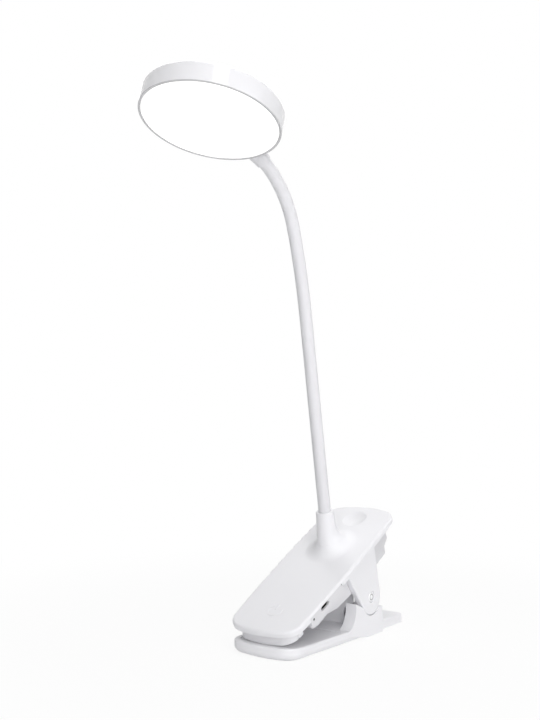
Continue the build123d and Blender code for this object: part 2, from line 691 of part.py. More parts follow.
with BuildPart() as upper_shell:
    with BuildSketch(jaw_level(-COVER_SKIRT)):
        add(cover_outline(0))
    extrude(amount=COVER_T + COVER_SKIRT)
    up = Axis((0, 0, 0), jaw_level(0).z_dir)
    fillet(upper_shell.faces().sort_by(up)[-1].edges(), COVER_EDGE_R)
    # finger dish
    ball_r = (DISH_R**2 + DISH_DEPTH**2) / (2 * DISH_DEPTH)
    with Locations(on_jaw(0, DISH_S, COVER_T - DISH_DEPTH + ball_r)):
        Sphere(ball_r, mode=Mode.SUBTRACT)
    dish_edge = upper_shell.edges().sort_by_distance(on_jaw(0, DISH_S, COVER_T))[0]
    fillet(dish_edge, DISH_EDGE_R)
    # hollow underside
    with BuildSketch(jaw_level(-CONE_L)):
        add(cover_outline(COVER_WALL))
    extrude(amount=CONE_L + POCKET_H, mode=Mode.SUBTRACT)
    # cone round the foot of the neck, trimmed to the cover's ceiling
    with Locations(neck_plane(-CONE_L / 2).location):
        Cone(CONE_BASE_R, COLLAR_R, CONE_L)
    fillet(upper_shell.edges().filter_by(GeomType.ELLIPSE).sort_by(up)[-1], CONE_BLEND_R)
    with BuildSketch(jaw_level(-CONE_L)):
        add(cover_outline(2 * COVER_WALL))
    extrude(amount=CONE_L + POCKET_H, mode=Mode.SUBTRACT)
    # bosses under the cover
    with BuildSketch(neck_plane(-CONE_L)):
        Circle(NUT_BOSS_R)
    extrude(amount=NUT_BOSS_L)
    with BuildSketch(jaw_level(POCKET_H - DISH_DEPTH)):
        with Locations((0, DISH_S)):
            Circle(DISH_BOSS_R)
    extrude(amount=DISH_DEPTH)
    with BuildSketch(jaw_level(SCREW_JOINT_H)):
        with Locations(*SCREW_PLACES):
            Circle(BOSS_R)
    extrude(amount=POCKET_H - SCREW_JOINT_H)
    with BuildSketch(jaw_level(SCREW_JOINT_H)):
        with Locations(*SCREW_PLACES):
            Circle(SCREW_R + SCREW_FIT)
    extrude(amount=POCKET_H - SCREW_JOINT_H + SCREW_BITE, mode=Mode.SUBTRACT)
    with BuildSketch(jaw_level(BOARD_TOP_H)):
        with Locations(*POST_PLACES):
            Circle(POST_R)
    extrude(amount=POCKET_H - BOARD_TOP_H)
    # room in the skirt for the housing's side panels
    with BuildSketch(jaw_level(-CONE_L)):
        with Locations((0, (PANEL_FRONT_S + PANEL_RIM_S) / 2)):
            Rectangle(2 * CLIP_WIDTH, PANEL_RIM_S - PANEL_FRONT_S + 2 * FIT)
        add(cover_outline(COVER_WALL + FIT), mode=Mode.SUBTRACT)
    extrude(amount=CONE_L + PANEL_TOP_H + FIT, mode=Mode.SUBTRACT)
    add(ear(1))
    add(ear(-1))
    # pin holes, with a recess for each head
    with BuildSketch(Plane.YZ):
        with Locations((0, PIVOT_Z)):
            Circle(PIN_R + PIN_RUNNING_FIT)
    extrude(amount=HALF, both=True, mode=Mode.SUBTRACT)
    for side in (-1, 1):
        with BuildSketch(Plane.YZ.offset(side * HALF)):
            with Locations((0, PIVOT_Z)):
                Circle(PIN_RECESS_R)
        extrude(amount=-side * PIN_RECESS_D, mode=Mode.SUBTRACT)
    # way in for the neck: a shallow mouth, the sleeve's seat and the bush's bore
    with BuildSketch(neck_plane(0)):
        Circle(COLLAR_R - COLLAR_LIP_W)
    extrude(amount=-COLLAR_LIP, mode=Mode.SUBTRACT)
    with BuildSketch(neck_plane(0)):
        Circle(NECK_R + FIT)
    extrude(amount=-SLEEVE_SEAT, mode=Mode.SUBTRACT)
    with BuildSketch(neck_plane(0)):
        Circle(BUSH_R + SLEEVE_FIT)
    extrude(amount=-CONE_L - NUT_T, mode=Mode.SUBTRACT)
    # raised touch mark: an open ring with a bar
    with BuildSketch(jaw_level(COVER_T - MARK_T)):
        with Locations((0, MARK_S)):
            Circle(MARK_R)
            Circle(MARK_R - MARK_W, mode=Mode.SUBTRACT)
            mouth = 2 * MARK_R * tan(radians(MARK_GAP / 2))
            Polygon((0, 0), (mouth, 2 * MARK_R), (-mouth, 2 * MARK_R), align=None,
                    mode=Mode.SUBTRACT)
            with Locations((0, MARK_BAR_RISE)):
                Rectangle(MARK_W, MARK_R, align=(Align.CENTER, Align.MIN))
    extrude(amount=2 * MARK_T)
save(upper_shell.part, "upper_shell")


# ---- battery housing

BELLY_FLOOR = HOUSING_BELLY[1] + HOUSING_WALL
BATTERY_BOTTOM = BELLY_FLOOR + TAPE_T
USB_H = BOARD_TOP_H + USB_T / 2 + FIT / 4
LED_LIGHT_H = BOARD_TOP_H + LED_T / 2


def housing_form(inset, top):
    """The housing's form up to a height over the rim plane, drawn in by inset all round."""
    with BuildPart() as form:
        with BuildSketch(jaw_side(-HOUSING_HALF)) as profile:
            with BuildLine():
                Polyline(
                    (HOUSING_FRONT_S, CLIP_WIDTH),
                    (HOUSING_FRONT_S, 0),
                    HOUSING_CHIN,
                    HOUSING_BELLY,
                    HOUSING_BELLY_END,
                    HOUSING_WAIST,
                    HOUSING_SPRING,
                    HOUSING_GRIP_ROOT,
                    HOUSING_STEP_LOW,
                    HOUSING_STEP_HIGH,
                    HOUSING_STEP_END,
                    (HOUSING_TAIL_S, 0),
                    (HOUSING_TAIL_S, CLIP_WIDTH),
                    close=True,
                )
            make_face()
            corners = [profile.vertices().sort_by_distance(v)[0] for v in
                       (HOUSING_CHIN, HOUSING_STEP_LOW, HOUSING_STEP_HIGH, HOUSING_STEP_END)]
            fillet(corners, HOUSING_STEP_R)
            if inset:
                offset(amount=-inset)
        extrude(amount=2 * HOUSING_HALF)
        with BuildSketch(jaw_level(-CLIP_WIDTH)) as plan:
            with BuildLine():
                Polyline(
                    (HOUSING_HALF, 2 * HOUSING_FRONT_S),
                    (HOUSING_HALF, HOUSING_TAPER_S),
                    (HOUSING_TAIL_HALF, HOUSING_TAIL_S),
                    (-HOUSING_TAIL_HALF, HOUSING_TAIL_S),
                    (-HOUSING_HALF, HOUSING_TAPER_S),
                    (-HOUSING_HALF, 2 * HOUSING_FRONT_S),
                    close=True,
                )
            make_face()
            fillet(plan.vertices().group_by(Axis.Y)[-1], HOUSING_TAIL_R)
            if inset:
                offset(amount=-inset)
        extrude(amount=CLIP_WIDTH + top, mode=Mode.INTERSECT)
    return form.part


def panel_form(inset, top):
    """The two side panels' form up to a height over the rim plane, drawn in by inset."""
    front = (PANEL_FRONT_S + inset, PANEL_FRONT_H + inset)
    rear = (PANEL_REAR_S - inset, PANEL_REAR_H + inset)
    end = (PANEL_END_S - inset, PANEL_TOP_H)
    with BuildPart() as form:
        with BuildSketch(jaw_side(-CLIP_WIDTH)) as profile:
            with BuildLine():
                Polyline((front[0], CLIP_WIDTH), front, rear, end, (end[0], CLIP_WIDTH), close=True)
            make_face()
            corners = [profile.vertices().sort_by_distance(v)[0] for v in (front, rear)]
            fillet(corners, PANEL_CORNER_R - inset)
        extrude(amount=2 * CLIP_WIDTH)
        with BuildSketch(jaw_level(-CLIP_WIDTH)):
            add(cover_outline(PANEL_IN + inset))
        extrude(amount=CLIP_WIDTH + top, mode=Mode.INTERSECT)
    return form.part


with BuildPart() as housing_bosses:
    with BuildSketch(jaw_level(-CLIP_WIDTH)):
        with Locations(*SCREW_PLACES):
            Circle(BOSS_R)
    extrude(amount=CLIP_WIDTH + SCREW_JOINT_H)
    # ledges along both sides carry the board, ribs the rear of the battery
    for side in (-1, 1):
        with BuildSketch(jaw_level(-CLIP_WIDTH)):
            with Locations((side * HOUSING_HALF, (BOARD_FRONT_S + BOARD_REAR_S) / 2)):
                Rectangle(
                    2 * (HOUSING_WALL + HOUSING_LEDGE), BOARD_REAR_S - BOARD_FRONT_S - BOSS_R
                )
        extrude(amount=CLIP_WIDTH + BOARD_H)
    with BuildSketch(jaw_level(-CLIP_WIDTH)):
        with Locations(*((0, s) for s in BATTERY_RIBS)):
            Rectangle(2 * HOUSING_HALF, RIB_T)
    extrude(amount=CLIP_WIDTH + BATTERY_BOTTOM)
    add(housing_form(HOUSING_WALL / 2, CLIP_WIDTH / 2), mode=Mode.INTERSECT)

with BuildPart() as battery_housing:
    add(housing_form(0, POCKET_H))
    add(panel_form(0, PANEL_TOP_H))
    add(housing_form(HOUSING_WALL, CLIP_WIDTH / 2), mode=Mode.SUBTRACT)
    add(panel_form(PANEL_WALL, CLIP_WIDTH / 2), mode=Mode.SUBTRACT)
    # the panels' middle is under the cover
    with BuildSketch(jaw_level(POCKET_H)):
        add(cover_outline(COVER_WALL + FIT))
    extrude(amount=COVER_T, mode=Mode.SUBTRACT)
    add(housing_bosses.part)
    # wells for the screws, from below
    with BuildSketch(jaw_level(-CLIP_WIDTH)):
        with Locations(*SCREW_PLACES):
            Circle(SCREW_HEAD_R + SIDE_GAP)
    extrude(amount=CLIP_WIDTH + SCREW_SEAT_H, mode=Mode.SUBTRACT)
    with BuildSketch(jaw_level(-CLIP_WIDTH)):
        with Locations(*SCREW_PLACES):
            Circle(SCREW_R + FIT)
    extrude(amount=CLIP_WIDTH, mode=Mode.SUBTRACT)
    # socket slot and charge light hole in the +X panel
    with BuildSketch(jaw_side(COVER_MID_HALF)):
        with Locations((USB_S, USB_H)):
            SlotOverall(USB_W - 2 * USB_WALL + USB_SLOT_GAP, USB_T - 2 * USB_WALL + USB_SLOT_GAP)
        with Locations((LED_S, LED_LIGHT_H)):
            Circle(LIGHT_PIPE_R + FIT / 2)
    extrude(amount=HOUSING_HALF - COVER_MID_HALF, mode=Mode.SUBTRACT)
    # room for the finger dish's boss over the tail wall
    with BuildSketch(jaw_level(POCKET_H - DISH_DEPTH - FIT)):
        with Locations((0, DISH_S)):
            Circle(DISH_BOSS_R + FIT)
    extrude(amount=COVER_T, mode=Mode.SUBTRACT)
    # low front wall, for the touch foil to pass over
    with BuildSketch(jaw_level(POCKET_H - FOIL_T - CONTACT_T - FIT)):
        with Locations((0, HOUSING_FRONT_S)):
            Rectangle(FOIL_W + 2 * SIDE_GAP, 4 * HOUSING_WALL)
    extrude(amount=COVER_T, mode=Mode.SUBTRACT)
save(battery_housing.part, "battery_housing")

with BuildPart() as housing_screws:
    for x, s in SCREW_PLACES:
        with BuildSketch(jaw_level(SCREW_SEAT_H)):
            with Locations((x, s)):
                Circle(SCREW_HEAD_R)
        extrude(amount=-SCREW_HEAD_T)
        with BuildSketch(jaw_level(SCREW_SEAT_H)):
            with Locations((x, s)):
                Circle(SCREW_R)
        extrude(amount=POCKET_H - SCREW_SEAT_H)
    # cross recess in each head
    with BuildSketch(jaw_level(SCREW_SEAT_H - SCREW_HEAD_T)):
        with Locations(*SCREW_PLACES):
            Rectangle(SCREW_CROSS_L, SCREW_CROSS_W)
            Rectangle(SCREW_CROSS_W, SCREW_CROSS_L)
    extrude(amount=SCREW_CROSS_D, mode=Mode.SUBTRACT)
save(housing_screws.part, "housing_screws")


# ---- upper grip: a soft block under the nose that meets the lower grip along its front edge

with BuildPart() as upper_grip:
    with BuildSketch(Plane.XY) as plan:
        with BuildLine():
            ThreePointArc((-PAD_HALF, PAD_SIDE_Y), (0, PAD_FRONT_Y), (PAD_HALF, PAD_SIDE_Y))
            Polyline(
                (PAD_HALF, PAD_SIDE_Y),
                (PAD_HALF, CHEEK_FRONT_Y),
                (-PAD_HALF, CHEEK_FRONT_Y),
                (-PAD_HALF, PAD_SIDE_Y),
            )
        make_face()
        fillet(plan.vertices().group_by(Axis.Y)[0], PAD_NOSE_R)
    extrude(amount=CLIP_WIDTH)
    # trimmed to the slab between the cover and a face parallel to it
    with BuildSketch(jaw_level(PAD_BOTTOM_H)) as slab:
        with Locations((0, PAD_REAR_S)):
            Rectangle(CLIP_WIDTH, CLIP_WIDTH, align=(Align.CENTER, Align.MAX))
    extrude(amount=POCKET_H - PAD_BOTTOM_H, mode=Mode.INTERSECT)
    with BuildSketch(jaw_level(PAD_BOTTOM_H - FIT)):
        with Locations((PAD_HALF, PAD_GROOVE_S), (-PAD_HALF, PAD_GROOVE_S)):
            Rectangle(2 * PAD_GROOVE_D, PAD_GROOVE_W)
    extrude(amount=-PAD_BOTTOM_H, mode=Mode.SUBTRACT)
save(upper_grip.part, "upper_grip")


# ---- electronics in the housing

with BuildPart() as battery:
    with BuildSketch(jaw_level(BATTERY_BOTTOM)):
        with Locations((0, BATTERY_FRONT_S)):
            Rectangle(BATTERY_W, BATTERY_L, align=(Align.CENTER, Align.MIN))
    extrude(amount=BATTERY_T)
    fillet(battery.edges(), BATTERY_EDGE_R)
save(battery.part, "battery")

with BuildPart() as battery_tape:
    with BuildSketch(jaw_level(BELLY_FLOOR)):
        with Locations((0, (HOUSING_BELLY[0] + HOUSING_BELLY_END[0]) / 2)):
            Rectangle(BATTERY_W - 2 * TAPE_IN, TAPE_L)
    extrude(amount=TAPE_T)
save(battery_tape.part, "battery_tape")

with BuildPart() as control_board:
    with BuildSketch(jaw_level(BOARD_H)):
        with Locations((0, BOARD_FRONT_S)):
            Rectangle(
                2 * BOARD_HALF,
                BOARD_REAR_S - BOARD_FRONT_S,
                align=(Align.CENTER, Align.MIN),
            )
        # tab under the socket
        with Locations((0, USB_S)):
            Rectangle(USB_MOUTH_X - USB_TAB_IN, USB_W, align=(Align.MIN, Align.CENTER))
    extrude(amount=BOARD_T)
save(control_board.part, "control_board")

with BuildPart() as board_chips:
    with BuildSketch(jaw_level(BOARD_TOP_H)):
        for x, s, across, along in CHIPS:
            with Locations((x, s)):
                Rectangle(across, along)
    extrude(amount=CHIP_H)
save(board_chips.part, "board_chips")

with BuildPart() as usb_port_shell:
    with BuildSketch(jaw_side(USB_MOUTH_X)):
        with Locations((USB_S, USB_H)):
            SlotOverall(USB_W, USB_T)
            SlotOverall(USB_W - 2 * USB_WALL, USB_T - 2 * USB_WALL, mode=Mode.SUBTRACT)
    extrude(amount=-USB_L)
save(usb_port_shell.part, "usb_port_shell")

with BuildPart() as usb_port_tongue:
    with BuildSketch(jaw_side(USB_MOUTH_X - USB_L)):
        with Locations((USB_S, USB_H)):
            SlotOverall(USB_W - 2 * USB_WALL - FIT / 2, USB_T - 2 * USB_WALL - FIT / 2)
    extrude(amount=USB_WALL * 2)
    with BuildSketch(jaw_side(USB_MOUTH_X - USB_L)):
        with Locations((USB_S, USB_H)):
            Rectangle(TONGUE_W, TONGUE_T)
    extrude(amount=TONGUE_L)
save(usb_port_tongue.part, "usb_port_tongue")

with BuildPart() as charge_led:
    with BuildSketch(jaw_level(BOARD_TOP_H)):
        with Locations((LED_FACE_X - LED_L / 2, LED_S)):
            Rectangle(LED_L, LED_W)
    extrude(amount=LED_T)
save(charge_led.part, "charge_led")

with BuildPart() as charge_light_pipe:
    with BuildSketch(jaw_side(LED_FACE_X)):
        with Locations((LED_S, LED_LIGHT_H)):
            Circle(LIGHT_PIPE_R)
    extrude(amount=side_x(LED_S) - PANEL_IN - SIDE_GAP - LED_FACE_X)
save(charge_light_pipe.part, "charge_light_pipe")

with BuildPart() as touch_foil:
    with BuildSketch(jaw_level(POCKET_H - FOIL_T)):
        with Locations((0, FOIL_S)):
            Rectangle(FOIL_W, FOIL_L)
    extrude(amount=FOIL_T)
save(touch_foil.part, "touch_foil")

with BuildPart() as touch_contact:
    foot_s = BOARD_FRONT_S + CONTACT_W
    head_s = BOARD_FRONT_S - CONTACT_HEAD_L / 2
    foil_h = POCKET_H - FOIL_T
    with BuildSketch(jaw_side(-CONTACT_W / 2)):
        with BuildLine():
            Polyline(
                (foot_s, BOARD_TOP_H),
                (foot_s, BOARD_TOP_H + CONTACT_T),
                (BOARD_FRONT_S + CONTACT_T, BOARD_TOP_H + CONTACT_T),
                (head_s + CONTACT_T, foil_h - CONTACT_T),
                (head_s + CONTACT_HEAD_L, foil_h - CONTACT_T),
                (head_s + CONTACT_HEAD_L, foil_h),
                (head_s, foil_h),
                (BOARD_FRONT_S, BOARD_TOP_H),
                close=True,
            )
        make_face()
    extrude(amount=CONTACT_W)
save(touch_contact.part, "touch_contact")

with BuildPart() as battery_leads:
    for x in (-LEAD_GAP, LEAD_GAP):
        start = on_jaw(x, BATTERY_REAR_S, BATTERY_BOTTOM + BATTERY_T / 2)
        out = on_jaw(x, BATTERY_REAR_S + LEAD_REACH, BATTERY_BOTTOM + BATTERY_T / 2)
        high = on_jaw(x, BATTERY_REAR_S + LEAD_REACH, BOARD_H)
        with BuildLine() as lead:
            FilletPolyline(start, out, high, radius=LEAD_BEND_R)
        with BuildSketch(Plane(origin=start, z_dir=lead.wire() % 0)):
            Circle(LEAD_R)
        sweep(path=lead.wire())
save(battery_leads.part, "battery_leads")


# ---- neck: a wound steel core in a soft sleeve, cut into one rigid length per station

with BuildPart() as neck_bush:
    with BuildSketch(neck_plane(-SLEEVE_SEAT)):
        Circle(BUSH_R)
        Circle(CORE_R + SLEEVE_FIT, mode=Mode.SUBTRACT)
    extrude(amount=-BUSH_L)
save(neck_bush.part, "neck_bush")

with BuildPart() as neck_nut:
    with BuildSketch(neck_plane(-CONE_L)):
        RegularPolygon(NUT_FLATS / 2, 6, major_radius=False)
        Circle(BUSH_R + SLEEVE_FIT, mode=Mode.SUBTRACT)
    extrude(amount=-NUT_T)
save(neck_nut.part, "neck_nut")


def neck_core(k):
    """Length k of the wound core, from 0 at the clip: a saddle below, a round knuckle above."""
    last = k == NECK_STATIONS
    start = STATIONS[k - 1] + SADDLE_START if k else -SLEEVE_SEAT - BUSH_L
    end = NECK_L + BOOT_L + SOCKET_L if last else STATIONS[k]
    with BuildPart() as core:
        with BuildSketch(neck_plane(start)):
            Circle(CORE_R)
        sweep(path=neck_path(start, end))
        if k:
            with BuildSketch(station_plane(k)):
                Circle(KNUCKLE_R + KNUCKLE_FIT)
            extrude(amount=2 * CORE_R, both=True, mode=Mode.SUBTRACT)
        if not last:
            with BuildSketch(neck_plane(end)):
                Circle(CORE_R)
            extrude(amount=2 * CORE_R)
            with BuildSketch(station_plane(k + 1)):
                Rectangle(4 * CORE_R, 3 * CORE_R, align=(Align.CENTER, Align.MIN))
                Circle(KNUCKLE_R, mode=Mode.SUBTRACT)
            extrude(amount=2 * CORE_R, both=True, mode=Mode.SUBTRACT)
            with BuildSketch(neck_plane(end)):
                Circle(CORE_BORE_R)
            extrude(amount=2 * CORE_R, mode=Mode.SUBTRACT)
        with BuildSketch(neck_plane(start)):
            Circle(CORE_BORE_R)
        sweep(path=neck_path(start, end), mode=Mode.SUBTRACT)
    return core.part


def neck_sleeve(k):
    """Length k of the soft sleeve, open for a little way across each station."""
    start = STATIONS[k - 1] + NECK_GAP / 2 if k else -SLEEVE_SEAT
    end = NECK_L if k == NECK_STATIONS else STATIONS[k] - NECK_GAP / 2
    with BuildPart() as sleeve:
        with BuildSketch(neck_plane(start)):
            Circle(NECK_R)
            Circle(CORE_R + SLEEVE_FIT, mode=Mode.SUBTRACT)
        sweep(path=neck_path(start, end))
        if k:
            with BuildSketch(neck_plane(start)):
                Circle(SLEEVE_RELIEF_R)
            extrude(amount=SLEEVE_RELIEF_L, mode=Mode.SUBTRACT)
    return sleeve.part


for k in range(NECK_STATIONS + 1):
    save(neck_core(k), f"neck_core_{k}")
    save(neck_sleeve(k), f"neck_sleeve_{k}")


# ---- head: a flat drum, placed so that the neck enters its side

HEAD_UP = Vector(0, sin(radians(HEAD_TILT)), cos(radians(HEAD_TILT)))
HEAD_REAR = Vector(0, cos(radians(HEAD_TILT)), -sin(radians(HEAD_TILT)))
HEAD_ENTRY = neck_at(NECK_L + BOOT_L)[0]
HEAD_FACE = HEAD_ENTRY - HEAD_REAR * HEAD_R - HEAD_UP * ATTACH_H
DIFFUSER_TOP = DIFFUSER_SUNK + DIFFUSER_T
HEAD_INNER_R = HEAD_R - HEAD_WALL - LEDGE_W
HEAD_BOARD_R = HEAD_R - HEAD_WALL - SOCKET_WEB_L - HEAD_BOARD_GAP
HEAD_SCREW_PCD_R = HEAD_BOARD_R * SCREW_RING_SHARE
LED_RINGS = (
    (HEAD_BOARD_R * INNER_RING_SHARE, INNER_LEDS),
    (HEAD_BOARD_R * OUTER_RING_SHARE, OUTER_LEDS),
)
HEAD_CEILING = HEAD_T - HEAD_BACK
HEAD_BOARD_TOP = HEAD_CEILING - HEAD_BOSS_H
HEAD_BOARD_FACE = HEAD_BOARD_TOP - HEAD_BOARD_T


def head_level(height):
    """Plane parallel to the light's face at a height over it; +Y on it points to the neck."""
    return Plane(origin=HEAD_FACE + HEAD_UP * height, x_dir=(1, 0, 0), z_dir=HEAD_UP)


with BuildPart() as head_shell:
    with BuildSketch(head_level(0)):
        Circle(HEAD_R)
    extrude(amount=HEAD_T)
    skyward = Axis((0, 0, 0), HEAD_UP)
    fillet(head_shell.faces().sort_by(skyward)[-1].edges(), HEAD_BACK_R)
    fillet(head_shell.faces().sort_by(skyward)[0].edges(), HEAD_RIM_R)
    with BuildSketch(head_level(0)):
        Circle(HEAD_R - HEAD_WALL)
    extrude(amount=DIFFUSER_TOP, mode=Mode.SUBTRACT)
    with BuildSketch(head_level(0)):
        Circle(HEAD_INNER_R)
    extrude(amount=HEAD_CEILING, mode=Mode.SUBTRACT)
    with BuildSketch(head_level(HEAD_BOARD_TOP)):
        with PolarLocations(HEAD_SCREW_PCD_R, HEAD_SCREWS, start_angle=90):
            Circle(HEAD_BOSS_R)
    extrude(amount=HEAD_BOSS_H)
    with BuildSketch(head_level(HEAD_BOARD_TOP)):
        with PolarLocations(HEAD_SCREW_PCD_R, HEAD_SCREWS, start_angle=90):
            Circle(HEAD_SCREW_R + SCREW_FIT)
    extrude(amount=HEAD_BOSS_H + HEAD_BACK / 2, mode=Mode.SUBTRACT)
    # socket for the core's end, hung from the back and clear of the diffuser
    with BuildSketch(neck_plane(NECK_L + BOOT_L + HEAD_WALL / 2)):
        Circle(SOCKET_R)
    extrude(amount=SOCKET_L - HEAD_WALL / 2)
    with BuildSketch(head_level(ATTACH_H)):
        with Locations((0, HEAD_R - HEAD_WALL / 2)):
            Rectangle(SOCKET_WEB_T, SOCKET_WEB_L, align=(Align.CENTER, Align.MAX))
    extrude(amount=HEAD_CEILING - ATTACH_H)
    with BuildSketch(head_level(0)):
        with Locations((0, HEAD_R - HEAD_WALL)):
            Rectangle(4 * SOCKET_R, 2 * SOCKET_L, align=(Align.CENTER, Align.MAX))
    extrude(amount=DIFFUSER_TOP, mode=Mode.SUBTRACT)
    with BuildSketch(neck_plane(NECK_L)):
        Circle(CORE_R + SLEEVE_FIT)
    extrude(amount=BOOT_L + SOCKET_L + SIDE_GAP, mode=Mode.SUBTRACT)
save(head_shell.part, "head_shell")

with BuildPart() as head_boot:
    with BuildSketch(neck_plane(NECK_L - BOOT_GRIP)):
        Circle(BOOT_R)
    with BuildSketch(neck_plane(NECK_L + BOOT_L + HEAD_WALL)):
        Ellipse(BOOT_HALF_W, BOOT_HALF_H)
    loft()
    # seated against the drum's side
    with BuildSketch(head_level(-HEAD_T)):
        Circle(HEAD_R)
    extrude(amount=3 * HEAD_T, mode=Mode.SUBTRACT)
    with BuildSketch(neck_plane(NECK_L)):
        Circle(NECK_R + SLEEVE_FIT)
    extrude(amount=-2 * BOOT_GRIP, mode=Mode.SUBTRACT)
    with BuildSketch(neck_plane(NECK_L)):
        Circle(CORE_R + SLEEVE_FIT)
    extrude(amount=2 * BOOT_L, mode=Mode.SUBTRACT)
save(head_boot.part, "head_boot")

with BuildPart() as diffuser:
    with BuildSketch(head_level(DIFFUSER_SUNK)):
        Circle(HEAD_R - HEAD_WALL - DIFFUSER_GAP)
    extrude(amount=DIFFUSER_T)
    fillet(diffuser.faces().sort_by(Axis((0, 0, 0), HEAD_UP))[0].edges(), HEAD_RIM_R)
save(diffuser.part, "diffuser")

with BuildPart() as led_board:
    with BuildSketch(head_level(HEAD_BOARD_FACE)):
        Circle(HEAD_BOARD_R)
        with PolarLocations(HEAD_SCREW_PCD_R, HEAD_SCREWS, start_angle=90):
            Circle(HEAD_SCREW_R + FIT, mode=Mode.SUBTRACT)
    extrude(amount=HEAD_BOARD_T)
save(led_board.part, "led_board")

with BuildPart() as leds:
    with BuildSketch(head_level(HEAD_BOARD_FACE)):
        for ring_r, number in LED_RINGS:
            with PolarLocations(ring_r, number):
                Rectangle(LED_PACK[0], LED_PACK[1])
    extrude(amount=-LED_PACK[2])
save(leds.part, "leds")

with BuildPart() as reflector:
    with BuildSketch(head_level(HEAD_BOARD_FACE)):
        Circle(HEAD_BOARD_R)
        for ring_r, number in LED_RINGS:
            with PolarLocations(ring_r, number):
                Rectangle(LED_PACK[0] + SIDE_GAP, LED_PACK[1] + SIDE_GAP, mode=Mode.SUBTRACT)
        with PolarLocations(HEAD_SCREW_PCD_R, HEAD_SCREWS, start_angle=90):
            Circle(HEAD_SCREW_HEAD_R + FIT, mode=Mode.SUBTRACT)
    extrude(amount=-REFLECTOR_T)
save(reflector.part, "reflector")

with BuildPart() as head_screws:
    for place in PolarLocations(HEAD_SCREW_PCD_R, HEAD_SCREWS, start_angle=90):
        with BuildSketch(head_level(HEAD_BOARD_FACE)):
            with Locations(place):
                Circle(HEAD_SCREW_HEAD_R)
        extrude(amount=-HEAD_SCREW_HEAD_T)
        with BuildSketch(head_level(HEAD_BOARD_FACE)):
            with Locations(place):
                Circle(HEAD_SCREW_R)
        extrude(amount=HEAD_BOARD_T + HEAD_BOSS_H + HEAD_BACK / 2)
save(head_screws.part, "head_screws")

print("nodes", len(os.listdir("parts")), "neck", round(NECK_L, 1), "face", HEAD_FACE)
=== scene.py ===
# %% [markdown]
# # A clip-on reading lamp
#
# The lamp is a sprung clip that holds a battery, a bendable neck and a flat round light. Its
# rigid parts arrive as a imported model, each one a solid in its right place. This lesson dresses
# that model: it gives every part a finish, and rebuilds the few parts whose shape the model
# can't carry, such as the neck, which has to bend smoothly.

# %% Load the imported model
import json
from math import acos, atan2, cos, pi, radians, sin, sqrt

import bmesh
import bpy
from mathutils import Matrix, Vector


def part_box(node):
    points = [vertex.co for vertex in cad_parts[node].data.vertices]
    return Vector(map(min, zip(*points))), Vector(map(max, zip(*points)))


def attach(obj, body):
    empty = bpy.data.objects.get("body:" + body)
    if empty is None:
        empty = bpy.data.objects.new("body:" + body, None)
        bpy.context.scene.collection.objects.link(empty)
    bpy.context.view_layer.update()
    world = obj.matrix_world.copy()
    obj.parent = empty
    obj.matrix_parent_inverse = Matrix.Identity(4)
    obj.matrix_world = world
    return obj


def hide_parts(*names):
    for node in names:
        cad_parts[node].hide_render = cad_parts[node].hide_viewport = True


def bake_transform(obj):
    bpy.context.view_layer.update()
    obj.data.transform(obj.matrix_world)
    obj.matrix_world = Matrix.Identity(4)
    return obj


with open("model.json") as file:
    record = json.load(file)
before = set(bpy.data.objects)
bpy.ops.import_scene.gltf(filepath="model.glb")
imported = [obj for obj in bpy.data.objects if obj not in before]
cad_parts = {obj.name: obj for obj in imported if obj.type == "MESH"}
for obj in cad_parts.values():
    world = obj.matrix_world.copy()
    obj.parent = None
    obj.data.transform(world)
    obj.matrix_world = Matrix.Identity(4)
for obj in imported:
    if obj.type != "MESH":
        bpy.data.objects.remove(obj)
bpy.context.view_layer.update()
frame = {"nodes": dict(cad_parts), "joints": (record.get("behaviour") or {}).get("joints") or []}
nodes = frame["nodes"]

# %% [markdown]
# ## Frame, view and light
#
# All lengths are in metres. A millimetre helper keeps the numbers readable, because a lamp's
# drawing gives millimetres. The camera stands in front and to the right, a little under half as
# high as the lamp, and looks slightly up.

# %% Units and the camera
MM = 0.001

scene = bpy.context.scene
scene.view_settings.view_transform = "Standard"

camera = bpy.data.objects.new("camera", bpy.data.cameras.new("camera"))
scene.collection.objects.link(camera)
scene.camera = camera
CAMERA_AT = Vector((338.05, -519.5, 143.0)) * MM
CAMERA_TARGET = Vector((0, -75.95, 175.64)) * MM
FOCAL_LENGTH = 46  # in millimetres, as lenses are named
NEAR, FAR = 0.01, 50
camera.location = CAMERA_AT
camera.rotation_euler = (CAMERA_TARGET - CAMERA_AT).to_track_quat("-Z", "Y").to_euler()
camera.data.lens = FOCAL_LENGTH
camera.data.clip_start, camera.data.clip_end = NEAR, FAR
print("camera", round((CAMERA_TARGET - CAMERA_AT).length, 3), "m from the lamp")

# %% [markdown]
# Small white goods are shown in a light tent: broad soft lamps all round, so that shapes read
# from gentle gradients rather than from hard highlights. The key lamp is tall and narrow, and
# gives the light's polished side its bright stripe. A broad one stands low on the right, a weak one
# in front reaches into the clip's mouth, one lights the back from high on the left, and one hangs
# overhead. The white room gives the rest.

